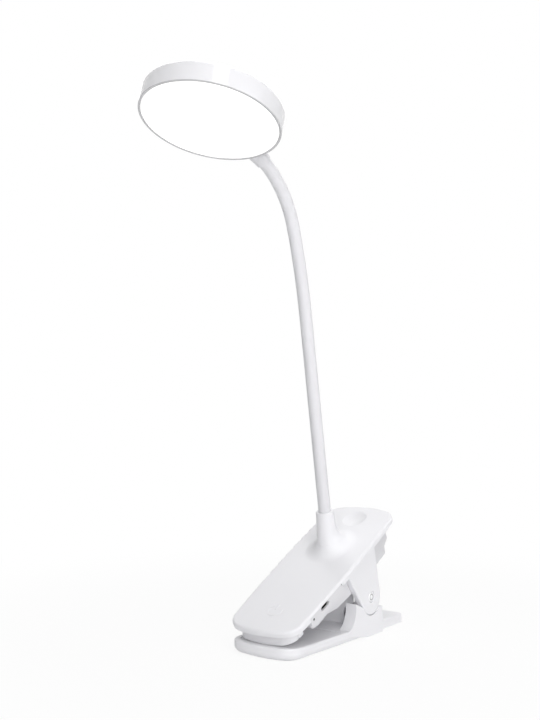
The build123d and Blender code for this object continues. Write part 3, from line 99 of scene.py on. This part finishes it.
# %% Lamps
LAMPS = {  # place, target, size across and up, power in watts
    "key": ((1.31, -0.99, 1.2), (0, -0.05, 0.15), 0.6, 1.6, 8),
    "side": ((1.5, -0.5, 0.6), (0, -0.05, 0.1), 2.4, 1.2, 8.5),
    "front": ((0.75, -1.1, 0.3), (0, -0.05, 0.1), 0.7, 0.5, 3.5),
    "back": ((-0.65, 1.0, 1.35), (0, 0, 0.15), 1.4, 1.2, 7),
    "overhead": ((0.35, -0.2, 1.9), (0, -0.05, 0.15), 1.4, 1.4, 14),
}
for name, (place, target, across, up, watts) in LAMPS.items():
    light = bpy.data.lights.new(name, "AREA")
    light.shape, light.size, light.size_y, light.energy = "RECTANGLE", across, up, watts
    lamp = bpy.data.objects.new(name, light)
    lamp.location = place
    lamp.rotation_euler = (Vector(target) - Vector(place)).to_track_quat("-Z", "Y").to_euler()
    scene.collection.objects.link(lamp)
print(len(LAMPS), "lamps,", sum(lamp[-1] for lamp in LAMPS.values()), "watts in all")

# %% [markdown]
# ## Writing materials as sums
#
# Blender's materials are graphs of small nodes. Long graphs are easier to read as arithmetic, so
# a `Value` wraps one output of a node, and Python's own signs add the nodes between two of them.
# A `Finish` is a material being made: `node` adds any other node, by its type, its settings and
# what goes into its sockets.

# %% Expressions for shader nodes
MIX_FIRST, MIX_SECOND, MIX_RESULT = 6, 7, 2  # the Mix node's sockets for colours


class Value:
    """What one output gives over a surface. Adding, multiplying and 1 - it add Math nodes."""

    def __init__(self, finish, socket):
        self.finish, self.socket = finish, socket

    def math(self, operation, *others):
        sockets = dict(enumerate((self, *others)))
        return self.finish.node("ShaderNodeMath", {"operation": operation}, sockets)

    def __add__(self, other):
        return self.math("ADD", other)

    def __mul__(self, other):
        return self.math("MULTIPLY", other)

    def __rsub__(self, other):
        return self.finish.node("ShaderNodeMath", {"operation": "SUBTRACT"}, {0: other, 1: self})


class Finish:
    """A material under construction."""

    def __init__(self, name, **sockets):
        self.material = bpy.data.materials.new(name)
        self.material.use_nodes = True
        self.tree = self.material.node_tree
        self.shader = self.tree.nodes["Principled BSDF"]
        for socket, value in sockets.items():
            self.shader.inputs[socket.replace("_", " ")].default_value = value

    def node(self, kind, settings=None, sockets=None, out=0):
        made = self.tree.nodes.new(kind)
        for setting, value in (settings or {}).items():
            setattr(made, setting, value)
        for socket, value in (sockets or {}).items():
            if isinstance(value, Value):
                self.tree.links.new(value.socket, made.inputs[socket])
            else:
                made.inputs[socket].default_value = value
        return Value(self, made.outputs[out])

    def place(self):
        """Where a point is in the lamp, in metres."""
        return self.node("ShaderNodeTexCoord", out="Object")

    def distance(self, centre, square_to=(1, 1, 1)):
        """How far a point is from a centre, or from an axis if one factor is 0."""
        from_centre = self.node("ShaderNodeVectorMath", {"operation": "SUBTRACT"},
                                {0: self.place(), 1: centre})
        flat = self.node("ShaderNodeVectorMath", {"operation": "MULTIPLY"},
                         {0: from_centre, 1: square_to})
        return self.node("ShaderNodeVectorMath", {"operation": "LENGTH"}, {0: flat}, out=1)

    def depth(self, origin, axis):
        """How far a point is along an axis from a plane through the origin square to it."""
        from_origin = self.node("ShaderNodeVectorMath", {"operation": "SUBTRACT"},
                                {0: self.place(), 1: origin})
        return self.node("ShaderNodeVectorMath", {"operation": "DOT_PRODUCT"},
                         {0: from_origin, 1: axis}, out=1)

    def noise(self, size, detail, stretch=(1, 1, 1)):
        """A soft random pattern whose blotches are about size metres across."""
        mapped = self.node("ShaderNodeMapping", sockets={"Vector": self.place(), "Scale": stretch})
        sockets = {"Vector": mapped, "Scale": 1 / size, "Detail": detail}
        return self.node("ShaderNodeTexNoise", sockets=sockets)

    def blend(self, amount, dark, light):
        """A colour between two, by an amount from 0 to 1. Each is three numbers or a Value."""
        sockets = {"Factor": amount}
        for socket, colour in ((MIX_FIRST, dark), (MIX_SECOND, light)):
            sockets[socket] = colour if isinstance(colour, Value) else (*colour, 1)
        return self.node("ShaderNodeMix", {"data_type": "RGBA"}, sockets, out=MIX_RESULT)

    def bump(self, height, depth, strength=1.0):
        """Makes the surface look raised where the height is 1, by a depth in metres."""
        sockets = {"Height": height, "Distance": depth, "Strength": strength}
        self.set(Normal=self.node("ShaderNodeBump", sockets=sockets))

    def set(self, **sockets):
        """Links Values into the shader's own sockets."""
        for socket, value in sockets.items():
            self.tree.links.new(value.socket, self.shader.inputs[socket.replace("_", " ")])


# %% [markdown]
# The white room is the world. The camera, mirrors and clear plastics see it as plain white, while
# the light that falls from it on the lamp stays moderate.

# %% The white room
ROOM_LIGHT = 0.18
world = bpy.data.worlds.new("white room")
scene.world = world
world.use_nodes = True
room = world.node_tree
background = room.nodes["Background"]
background.inputs["Color"].default_value = (1, 1, 1, 1)
path = room.nodes.new("ShaderNodeLightPath")
seen = path.outputs["Is Camera Ray"]
for ray in ("Is Glossy Ray", "Is Transmission Ray"):
    either = room.nodes.new("ShaderNodeMath")
    either.operation = "MAXIMUM"
    room.links.new(seen, either.inputs[0])
    room.links.new(path.outputs[ray], either.inputs[1])
    seen = either.outputs[0]
level = room.nodes.new("ShaderNodeMapRange")
level.inputs["To Min"].default_value = ROOM_LIGHT
level.inputs["To Max"].default_value = 1.0
room.links.new(seen, level.inputs["Value"])
room.links.new(level.outputs[0], background.inputs["Strength"])
print("room light", ROOM_LIGHT)

# %% [markdown]
# The floor is a sheet of white paper, and is seen as plain white in the same way. Only near the
# lamp does the paper keep a share of its own shading, which is where the lamp's soft shadow shows.
# It fades out further on, so that no horizon is left.

# %% The floor
FLOOR_R, FLOOR_SIDES = 6.0, 96
PAPER_WHITE, PAPER_ROUGHNESS = (0.9, 0.9, 0.9, 1), 0.9
SHADOW_SHARE = 0.1
SHADOW_FULL, SHADOW_GONE = 0.14, 0.42  # distances from the lamp in metres
bpy.ops.object.select_all(action="DESELECT")
bpy.ops.mesh.primitive_circle_add(vertices=FLOOR_SIDES, radius=FLOOR_R, fill_type="NGON")
floor = bpy.context.object
floor.name = "floor"
paper = Finish("white paper", Roughness=PAPER_ROUGHNESS, Base_Color=PAPER_WHITE)
from_lamp = paper.node("ShaderNodeVectorMath", {"operation": "LENGTH"}, {0: paper.place()}, out=1)
fade = {"Value": from_lamp, "From Min": SHADOW_FULL, "From Max": SHADOW_GONE,
        "To Min": SHADOW_SHARE, "To Max": 0.0}
own_shading = paper.node("ShaderNodeMapRange", {"interpolation_type": "SMOOTHSTEP"}, fade)
rays = paper.node("ShaderNodeLightPath")
seen = rays
for ray in ("Is Glossy Ray", "Is Transmission Ray"):
    seen = seen.math("MAXIMUM", Value(paper, rays.socket.node.outputs[ray]))
white = paper.node("ShaderNodeEmission", sockets={"Color": (1, 1, 1, 1), "Strength": 1.0})
mixed = paper.node("ShaderNodeMixShader", sockets={0: seen * (1 - own_shading), 2: white})
paper.tree.links.new(paper.shader.outputs[0], mixed.socket.node.inputs[1])
paper.tree.links.new(mixed.socket, paper.tree.nodes["Material Output"].inputs["Surface"])
floor.data.materials.append(paper.material)
print("floor", 2 * FLOOR_R, "m across")

# %% [markdown]
# ## Finishes
#
# Injection moulding leaves a skin that is never quite even: spark-eroded moulds give a fine
# grain, polished ones a faint waviness that only shows in reflections. Each plastic below has
# one of the two, and a roughness that wanders a little round its middle value.

# %% Plastics
PLASTIC_IOR = 1.5
GRAINED_SHADE, GRAINED_WANDER = 0.975, 0.08  # darkest share of a colour, span of the roughness
POLISHED_SHADE, POLISHED_WANDER = 0.985, 0.05
GRAINED_CLOUD, GRAINED_PATCH, GRAIN_STRENGTH = 28 * MM, 9 * MM, 0.5
POLISHED_CLOUD, POLISHED_PATCH = 40 * MM, 14 * MM
WAVE_SIZE, WAVE_DEPTH, WAVE_STRENGTH = 16 * MM, 0.02 * MM, 0.35


def shaded(colour, share):
    """A colour made darker in all three channels."""
    return tuple(channel * share for channel in colour)


def wandering(finish, patch, middle, span):
    """A roughness that varies in patches round a middle value."""
    return finish.noise(patch, 2) * span + (middle - span / 2)


def grained_plastic(name, colour, roughness, grain, depth, gloss=0.3):
    """Moulded plastic with a fine spark-eroded grain."""
    finish = Finish(name, IOR=PLASTIC_IOR, Specular_IOR_Level=gloss)
    cloud = finish.noise(GRAINED_CLOUD, 3)
    finish.set(
        Base_Color=finish.blend(cloud, shaded(colour, GRAINED_SHADE), colour),
        Roughness=wandering(finish, GRAINED_PATCH, roughness, GRAINED_WANDER),
    )
    finish.bump(finish.noise(grain, 3), depth, GRAIN_STRENGTH)
    return finish.material


def polished_plastic(name, colour, roughness, edge):
    """Moulded plastic from a polished mould, faintly wavy, with painted shade below one plane."""
    finish = Finish(name, IOR=PLASTIC_IOR, Coat_Weight=0.35, Coat_Roughness=0.05)
    cloud = finish.noise(POLISHED_CLOUD, 2)
    body = finish.blend(cloud, shaded(colour, POLISHED_SHADE), colour)
    edge_at, edge_axis, edge_depth, painted_shade_share = edge
    # Painted shade: below a plane through edge_at the colour is made darker.
    in_painted_shade = finish.depth(edge_at, edge_axis).math("LESS_THAN", edge_depth)
    finish.set(
        Base_Color=finish.blend(in_painted_shade, body, shaded(colour, painted_shade_share)),
        Roughness=wandering(finish, POLISHED_PATCH, roughness, POLISHED_WANDER),
    )
    finish.bump(finish.noise(WAVE_SIZE, 1), WAVE_DEPTH, WAVE_STRENGTH)
    return finish.material


# %% [markdown]
# The clip is all one white, and the housing under it is the same white made darker, as painted
# shade under the cover. The drum of the light is polished, and the edge of its rim, round the
# window, is painted darker as shade.

# %% Colours of the plastics
HEAD_TILT = radians(16.2)
HEAD_AXIS = Vector((0, sin(HEAD_TILT), cos(HEAD_TILT)))
HEAD_FACE_AT = Vector((0, -132.352, 307.7)) * MM
# The rim's front edge, within RIM_EDGE of the window's face, is painted darker as shade.
RIM_EDGE, RIM_PAINTED_SHADE = 0.3 * MM, 0.7

# Each grained one has a name, a colour, a roughness, and the size and depth of its grain.
clip_white = grained_plastic("clip white", (0.85, 0.847, 0.872), 0.34, 0.35 * MM, 0.012 * MM)
# The housing is the clip's white made darker: painted shade for its place under the cover.
housing_white_painted_shade = grained_plastic("housing white", (0.73, 0.726, 0.75), 0.38, 0.35 * MM, 0.012 * MM)
head_white = polished_plastic("head white", (0.775, 0.772, 0.795), 0.08,
                              (HEAD_FACE_AT, HEAD_AXIS, RIM_EDGE, RIM_PAINTED_SHADE))
soft_grey = grained_plastic("soft grip", (0.83, 0.826, 0.85), 0.62, 0.6 * MM, 0.03 * MM)
neck_white = grained_plastic("neck silicone", (0.77, 0.767, 0.792), 0.5, 0.5 * MM, 0.01 * MM, 0.1)
socket_black = grained_plastic("socket black", (0.012, 0.012, 0.014), 0.45, 0.4 * MM, 0.01 * MM)
chip_black = grained_plastic("chip black", (0.02, 0.02, 0.022), 0.5, 0.3 * MM, 0.01 * MM)
lead_red = grained_plastic("lead red", (0.5, 0.03, 0.02), 0.4, 0.3 * MM, 0.01 * MM)
sheet_white = grained_plastic("reflector white", (0.9, 0.9, 0.9), 0.6, 0.3 * MM, 0.01 * MM)
dark_rod = grained_plastic("dark light rod", (0.02, 0.02, 0.022), 0.2, 0.4 * MM, 0.002 * MM)
print("head tilted by", round(HEAD_TILT * 180 / pi, 1), "degrees")

# %% [markdown]
# The metal parts are drawn wire, turned steel, stamped strip and foil. Each carries fine lines
# along the way it was worked. The spring's wire is a darker steel, the turned pins are
# nickel-plated, and each has a groove in its head, painted dark as shade.

# %% Metals
LINE_SIZE, LINE_DEPTH, LINE_STRENGTH = 0.25 * MM, 0.01 * MM, 0.5
LINE_SHADE, LINE_WANDER = 0.7, 0.2


def lined_metal(name, colour, roughness, stretch):
    """Metal with fine lines, drawn out along the axis whose stretch is smallest."""
    finish = Finish(name, Metallic=1.0)
    lines = finish.noise(LINE_SIZE, 4, stretch)
    finish.set(
        Base_Color=finish.blend(lines, shaded(colour, LINE_SHADE), colour),
        Roughness=lines * LINE_WANDER + (roughness - LINE_WANDER / 2),
    )
    finish.bump(lines, LINE_DEPTH, LINE_STRENGTH)
    return finish.material


spring_wire = lined_metal("spring wire", (0.30, 0.30, 0.31), 0.35, (0.2, 1, 1))
# The USB socket's shell is made near black: painted shade for the inside of its slot.
shell_zinc_painted_shade = lined_metal("zinc with painted shade", (0.05, 0.05, 0.052), 0.4, (1, 0.3, 0.3))
zinc = lined_metal("zinc plate", (0.62, 0.62, 0.60), 0.35, (1, 1, 0.2))
contact_brass = lined_metal("contact brass", (0.72, 0.50, 0.24), 0.3, (0.2, 1, 1))
pouch_foil = lined_metal("pouch foil", (0.70, 0.71, 0.73), 0.4, (1, 0.3, 1))

PIVOT_AT = Vector(frame["joints"][0]["pos_m"])
GROOVE_R, GROOVE_HALF, GROOVE_DEPTH = 1.8 * MM, 0.3 * MM, 0.15 * MM
PIN_WEAR, PIN_ROUGHNESS, PIN_WANDER = 0.4 * MM, 0.35, 0.1


def turned_pin(name, light, dark):
    """Nickel-plated pin, with a groove turned into its head and painted dark in it as shade."""
    finish = Finish(name, Metallic=1.0)
    across_pin = finish.distance(PIVOT_AT, square_to=(0, 1, 1))
    groove = across_pin.math("COMPARE", GROOVE_R, GROOVE_HALF)
    worn = finish.noise(PIN_WEAR, 3)
    finish.set(
        # Painted shade: the groove's ring takes the dark colour.
        Base_Color=finish.blend(groove, light, dark),
        Roughness=worn * PIN_WANDER + (PIN_ROUGHNESS - PIN_WANDER / 2),
    )
    finish.bump(1 - groove, GROOVE_DEPTH)
    return finish.material


pin_nickel = turned_pin("pin nickel", (0.93, 0.93, 0.94), (0.35, 0.35, 0.36))
print("hinge axis", [round(c / MM, 1) for c in PIVOT_AT], "mm")

# %% [markdown]
# The circuit boards show their tracks faintly through the lacquer. The light window and the diodes
# behind it glow, and the window's colour and glow are painted darker in its seat, as the rim's
# shade.

# %% Boards and lights
BOARD_SQUARE, TRACK_FROM, TRACK_DEPTH, TRACK_STRENGTH = 5 * MM, 0.42, 0.03 * MM, 0.4


def board_lacquer(name, lacquer, track):
    """Circuit board: tracks show through the lacquer as bands."""
    finish = Finish(name, Roughness=0.35, IOR=PLASTIC_IOR)
    bands = finish.node("ShaderNodeTexVoronoi", {"distance": "CHEBYCHEV"},
                        {"Vector": finish.place(), "Scale": 1 / BOARD_SQUARE})
    on_track = bands.math("GREATER_THAN", TRACK_FROM)
    finish.set(Base_Color=finish.blend(on_track, lacquer, track))
    finish.bump(on_track, TRACK_DEPTH, TRACK_STRENGTH)
    return finish.material


green_board = board_lacquer("green board", (0.01, 0.10, 0.04), (0.03, 0.20, 0.08))
light_board = board_lacquer("light board", (0.78, 0.78, 0.78), (0.86, 0.86, 0.86))

GLOW_SHADE, SEAT_PAINTED_SHADE = 0.94, 0.75
WINDOW_LIT_R, WINDOW_SEAT_R = 39.7 * MM, 39.8 * MM


def glowing(name, colour, strength, cloud_size, centre=None):
    """A surface that gives light, a little unevenly, with painted shade in a ring round its centre.
    """
    finish = Finish(name, Emission_Strength=strength, Roughness=0.5)
    cloud = finish.noise(cloud_size, 2)
    shade = finish.blend(cloud, shaded(colour, GLOW_SHADE), colour)
    # Painted shade: colour and glow grow darker in a ring from WINDOW_LIT_R out to WINDOW_SEAT_R.
    if centre is not None:
        fade = {"Value": finish.distance(centre),
                "From Min": WINDOW_LIT_R, "From Max": WINDOW_SEAT_R}
        painted_seat_shade = finish.node("ShaderNodeMapRange", sockets=fade)
        shade = finish.blend(painted_seat_shade, shade, shaded(colour, SEAT_PAINTED_SHADE))
    finish.set(Base_Color=shade, Emission_Color=shade)
    return finish.material


window_low, window_high = (Vector(corner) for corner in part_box("diffuser"))
opal = glowing("opal light window", (0.97, 0.97, 0.96), 0.45, 30 * MM,
               centre=(window_low + window_high) / 2)
diode_yellow = glowing("diode phosphor", (0.95, 0.82, 0.35), 0.6, 1 * MM)
print("light window", round((window_high - window_low).x / MM, 1), "mm across")

# %% [markdown]
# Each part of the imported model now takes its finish. The parts inside the housing and the head
# are dressed too, because the lamp may be shown open. The neck's parts are numbered, so they are
# found by how their names begin.

# %% Dress the model's own parts


def dress(part, material):
    """Gives a part one finish all over."""
    part.data.materials.clear()
    part.data.materials.append(material)
    for face in part.data.polygons:
        face.material_index = 0


PART_FINISH = {
    "lower_jaw": clip_white, "upper_shell": clip_white, "battery_housing": housing_white_painted_shade,
    "foot_pad": soft_grey, "lower_grip": soft_grey, "upper_grip": soft_grey,
    "pivot_pins": pin_nickel, "torsion_spring": spring_wire,
    "housing_screws": zinc, "head_screws": zinc, "neck_bush": zinc, "neck_nut": zinc,
    "battery": pouch_foil, "battery_tape": chip_black, "battery_leads": lead_red,
    "control_board": green_board, "board_chips": chip_black,
    "usb_port_shell": shell_zinc_painted_shade, "usb_port_tongue": socket_black,
    "charge_led": diode_yellow, "charge_light_pipe": dark_rod,
    "touch_foil": contact_brass, "touch_contact": contact_brass,
    "head_shell": head_white, "head_boot": neck_white, "diffuser": opal,
    "led_board": light_board, "leds": diode_yellow, "reflector": sheet_white,
}
for name, part in nodes.items():
    if name.startswith("neck_core"):
        dress(part, zinc)
    elif name.startswith("neck_sleeve"):
        dress(part, neck_white)
    else:
        dress(part, PART_FINISH[name])
print("dressed", len(nodes), "parts")

# %% [markdown]
# ## The neck
#
# The real neck is a wound steel core inside one soft tube. The imported model cuts it into rigid
# lengths that turn at nine stations, with the tube left open at each. Here nine tube sections
# take the place of those lengths. Each section is centred on a station, and two neighbours meet
# midway between stations.
#
# First the neck's line: a long straight run that leans forward out of the cone, a slow bend, and a
# tight one under the light. `advance` walks along one of them, and `neck_pieces` gives the part of
# each that lies between two distances.

# %% The neck's line
COLLAR_AT = Vector((0, -17.0, 79.3)) * MM
SLOW_BEND_R, TIGHT_BEND_R = 391 * MM, 60 * MM
NECK_RUNS = (  # length, and radius of the bend, or None where straight
    (127.4 * MM, None),
    (SLOW_BEND_R * radians(8.5), SLOW_BEND_R),
    (TIGHT_BEND_R * radians(48), TIGHT_BEND_R),
)
PAST_END = (1.0, None)  # straight on, for a distance past the end
NECK_LENGTH = sum(length for length, _ in NECK_RUNS)
NECK_LEAN = radians(9.5)
STATION_COUNT = sum(joint["name"].startswith("neck_bend") for joint in frame["joints"])
STATION_GAP = NECK_LENGTH / STATION_COUNT
print(STATION_COUNT, "stations", round(STATION_GAP / MM, 2), "mm apart")


def direction(lean):
    """The way the neck points where it leans forward by an angle."""
    return Vector((0, -sin(lean), cos(lean)))


def arc_centre(point, lean, radius):
    """The centre of the bend that starts at a point."""
    return point - Vector((0, cos(lean), sin(lean))) * radius


def advance(point, lean, length, radius):
    """Where a stretch of the neck ends, and its lean there."""
    if radius is None:
        return point + direction(lean) * length, lean
    centre = arc_centre(point, lean, radius)
    lean += length / radius
    return centre + Vector((0, cos(lean), sin(lean))) * radius, lean


def neck_pieces(start, end):
    """The straight and bent stretches between two distances: (length, radius, lean, point)."""
    point, lean, passed = COLLAR_AT.copy(), NECK_LEAN, 0.0
    for length, radius in (*NECK_RUNS, PAST_END):
        low, high = max(start, passed), min(end, passed + length)
        if high > low:
            at, lean_there = advance(point, lean, low - passed, radius)
            yield high - low, radius, lean_there, at
        point, lean = advance(point, lean, length, radius)
        passed += length


# %% [markdown]
# A section is made as by hand: a circle is added at its lower end, and then drawn on along the
# neck's line, straight or round an arc, with a ring every millimetre or so, so that it can bend.
# These helpers stand for the modeller's own moves.

# %% Tools for modelling by hand
SMOOTH_ANGLE = radians(40)
RING_SIDES = 48


def only(piece):
    """Selects one piece and nothing else."""
    bpy.ops.object.select_all(action="DESELECT")
    piece.select_set(True)
    bpy.context.view_layer.objects.active = piece


def settle(piece, name):
    """Names a piece and moves its place from its object into its mesh."""
    only(piece)
    bpy.ops.object.transform_apply(location=True, rotation=True, scale=True)
    piece.name = piece.data.name = name
    return piece


def extent(piece):
    """Lowest and highest corner of a piece in millimetres, to print."""
    corners = [Vector(corner) / MM for corner in piece.bound_box]
    low = [round(min(c[i] for c in corners), 1) for i in range(3)]
    high = [round(max(c[i] for c in corners), 1) for i in range(3)]
    return low, high


def apply_all(piece):
    """Turns a piece's modifiers into real points and faces."""
    only(piece)
    for modifier in list(piece.modifiers):
        bpy.ops.object.modifier_apply(modifier=modifier.name)


def ring(radius, at, lean, name):
    """A circle square to a line that leans forward, selected and ready to be drawn on."""
    bpy.ops.object.select_all(action="DESELECT")
    bpy.ops.mesh.primitive_circle_add(
        vertices=RING_SIDES, radius=radius, location=at, rotation=(lean, 0, 0)
    )
    return settle(bpy.context.object, name)


def draw_on(length, radius, lean, at, step):
    """In edit mode, draws the selected ring on along one stretch."""
    steps = max(1, round(length / step))
    if radius is None:
        for _ in range(steps):
            move = {"value": direction(lean) * (length / steps)}
            bpy.ops.mesh.extrude_region_move(TRANSFORM_OT_translate=move)
    else:
        centre = arc_centre(at, lean, radius)
        bpy.ops.mesh.spin(steps=steps, angle=-length / radius, center=centre, axis=(1, 0, 0))


# %% [markdown]
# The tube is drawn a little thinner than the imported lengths, as the real one is, and so stays
# inside their space. It gets its wall from a Solidify modifier, which works inwards, so that the
# outside stays where it was drawn. The inside keeps clear of the core, and the lowest section
# starts down in the cone.

# %% Nine bending sections
TUBE_R, TUBE_WALL, RING_STEP = 3.6 * MM, 0.45 * MM, 1.1 * MM
COLLAR_DEPTH = 6 * MM
BEND_SHARE = 0.42  # how far a bend reaches to each side of its station, in station gaps


def neck_section(k):
    """The tube round station k, from midway to the station below to midway to the one above."""
    start = (k - 1) * STATION_GAP if k > 1 else -COLLAR_DEPTH
    end = k * STATION_GAP
    stretches = list(neck_pieces(max(start, 0), end))
    first_lean, first_at = stretches[0][2], stretches[0][3]
    tube = ring(TUBE_R, first_at + direction(first_lean) * min(start, 0), first_lean,
                f"neck_tube_{k}")
    bpy.ops.object.mode_set(mode="EDIT")
    bpy.ops.mesh.select_all(action="SELECT")
    if start < 0:
        draw_on(-start, None, first_lean, first_at, RING_STEP)
    for length, radius, lean, at in stretches:
        draw_on(length, radius, lean, at, RING_STEP)
    bpy.ops.object.mode_set(mode="OBJECT")
    wall = tube.modifiers.new("wall", "SOLIDIFY")
    wall.thickness, wall.offset = TUBE_WALL, -1
    apply_all(tube)
    bpy.ops.object.shade_smooth_by_angle(angle=SMOOTH_ANGLE)
    dress(tube, neck_white)
    return tube


for k in range(1, STATION_COUNT + 1):
    tube = neck_section(k)
    last = [f"neck_sleeve_{STATION_COUNT}"] if k == STATION_COUNT else []
    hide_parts(f"neck_sleeve_{k - 1}", *last)
    station = Vector(frame["joints"][k]["pos_m"])
    along = direction(next(neck_pieces((k - 0.5) * STATION_GAP, k * STATION_GAP))[2])
    reach = along * (BEND_SHARE * STATION_GAP)
    station - reach
    station + reach
    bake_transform(tube)
    if k in (1, STATION_COUNT):
        print(tube.name, extent(tube))

# %% [markdown]
# The cone's mouth ends in a rolled lip, which closes on the tube and catches the light. It would
# be moulded with the cover. By hand, its section is drawn beside the neck as a circle, flattened
# until it just spans from the tube to the cone's edge, and then spun once round the neck. The mouth
# is cut a little steeper than square to the neck.

# %% Rolled lip of the cone
LIP_R, LIP_HALF, LIP_FLATTENED = 4.85 * MM, 1.1 * MM, 0.6
LIP_SIDES, LIP_STEPS, SAME_PLACE = 16, 72, 0.01 * MM
LIP_STEEPER = radians(8)
lip_lean = NECK_LEAN + LIP_STEEPER
section_at = COLLAR_AT + Vector((LIP_R, 0, 0))
bpy.ops.object.select_all(action="DESELECT")
bpy.ops.mesh.primitive_circle_add(
    vertices=LIP_SIDES, radius=LIP_HALF, location=section_at, rotation=(lip_lean + pi / 2, 0, 0)
)
lip = settle(bpy.context.object, "cone_lip")
bpy.ops.object.mode_set(mode="EDIT")
bpy.ops.mesh.select_all(action="SELECT")
bpy.ops.transform.resize(value=(1, 1, LIP_FLATTENED), center_override=section_at)
bpy.ops.mesh.spin(steps=LIP_STEPS, angle=2 * pi, center=COLLAR_AT, axis=direction(lip_lean))
bpy.ops.mesh.select_all(action="SELECT")
bpy.ops.mesh.remove_doubles(threshold=SAME_PLACE)
bpy.ops.mesh.normals_make_consistent(inside=False)
bpy.ops.object.mode_set(mode="OBJECT")
bpy.ops.object.shade_smooth()
dress(lip, clip_white)
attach(lip, "upper_jaw")
print(lip.name, extent(lip))

# %% [markdown]
# ## The spring
#
# One length of hard-drawn wire is wound into a coil that lies across the clip, just above the
# lower jaw. Its two straight legs press the jaws together: one lies along the plate, and the other
# reaches up under the battery housing. As the clip opens, the upper leg is carried down and bends,
# which a rigid part can't show. So the wire is modelled again as one mesh.
#
# The coil is a circle carried round by a Screw modifier, from where the lower leg leaves it to
# where the upper one does.

# %% Wind the spring
COIL_CENTRE = Vector((0, -1.0, 13.95)) * MM
WIRE_R, COIL_R, COIL_HALF = 0.9 * MM, 5.3 * MM, 13 * MM
WHOLE_TURNS = 9
LOWER_LEG_FOOT = Vector((0, 24.0, 8.65)) * MM
UPPER_LEG_FOOT = Vector((0, 22.25, 46.38)) * MM
STEPS_PER_TURN, WIRE_SIDES = 28, 14


def leg_start(foot, side):
    """Where round the coil a straight leg to a foot leaves it; side is +1 or -1."""
    across, up = (foot - COIL_CENTRE).yz
    return atan2(up, across) + side * acos(COIL_R / sqrt(across**2 + up**2))


start_angle, end_angle = leg_start(LOWER_LEG_FOOT, -1), leg_start(UPPER_LEG_FOOT, 1)
sweep = 2 * pi * WHOLE_TURNS + (start_angle - end_angle) % (2 * pi)
bpy.ops.object.select_all(action="DESELECT")
bpy.ops.mesh.primitive_circle_add(vertices=WIRE_SIDES, radius=WIRE_R, location=(0, 0, 0))
spring = bpy.context.object
bpy.ops.object.mode_set(mode="EDIT")
bpy.ops.mesh.select_all(action="SELECT")
bpy.ops.transform.translate(value=(COIL_HALF, COIL_R, 0))
bpy.ops.object.mode_set(mode="OBJECT")
winding = spring.modifiers.new("winding", "SCREW")
winding.axis, winding.angle, winding.screw_offset = "X", -sweep, -2 * COIL_HALF
winding.steps = winding.render_steps = round(STEPS_PER_TURN * sweep / (2 * pi))
winding.use_normal_calculate = True
apply_all(spring)
spring.location, spring.rotation_euler = COIL_CENTRE, (start_angle, 0, 0)
settle(spring, "spring_wire")
print(spring.name, round(sweep / (2 * pi), 2), "turns", extent(spring))

# %% [markdown]
# The legs are extruded from the coil's two open ends, in the direction in which the wire leaves the
# coil, and each ends in a small chamfer and a flat face.

# %% Draw out its legs
LEG_END_GAP = 1.2 * MM
LEG_STEPS = 12
CHAMFER, CHAMFER_SHARE = WIRE_R / 3, 0.72
END_RING_R = 1.02 * WIRE_R


def on_coil(angle, x):
    """A point on the middle line of the coil's wire."""
    return COIL_CENTRE + Vector((x, COIL_R * cos(angle), COIL_R * sin(angle)))


def select_points(piece, wanted):
    """In edit mode, selects the points of a piece whose place passes a test."""
    bpy.ops.object.mode_set(mode="EDIT")
    bpy.ops.mesh.select_mode(type="VERT")
    bpy.ops.mesh.select_all(action="DESELECT")
    shape = bmesh.from_edit_mesh(piece.data)
    for point in shape.verts:
        point.select_set(wanted(point.co))
    shape.select_flush(True)
    bmesh.update_edit_mesh(piece.data)
    return sum(point.select for point in shape.verts)


only(spring)
for x, angle, foot in (
    (COIL_HALF, start_angle, LOWER_LEG_FOOT),
    (-COIL_HALF, end_angle, UPPER_LEG_FOOT),
):
    root = on_coil(angle, x)
    found = select_points(spring, lambda place: (place - root).length < END_RING_R)
    leg = Vector((0, *(foot - root).yz))
    leg -= leg.normalized() * LEG_END_GAP
    for _ in range(LEG_STEPS):
        bpy.ops.mesh.extrude_region_move(TRANSFORM_OT_translate={"value": leg / LEG_STEPS})
    tip = leg.normalized() * CHAMFER
    bpy.ops.mesh.extrude_region_move(TRANSFORM_OT_translate={"value": tip})
    bpy.ops.transform.resize(value=(CHAMFER_SHARE,) * 3, center_override=root + leg + tip)
    bpy.ops.mesh.edge_face_add()
    bpy.ops.object.mode_set(mode="OBJECT")
    print("leg of", round(leg.length / MM, 1), "mm from", found, "points")
bpy.ops.object.mode_set(mode="EDIT")
bpy.ops.mesh.select_all(action="SELECT")
bpy.ops.mesh.normals_make_consistent(inside=False)
bpy.ops.object.mode_set(mode="OBJECT")
bpy.ops.object.shade_smooth_by_angle(angle=SMOOTH_ANGLE)
dress(spring, spring_wire)
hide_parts("torsion_spring")
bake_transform(spring)
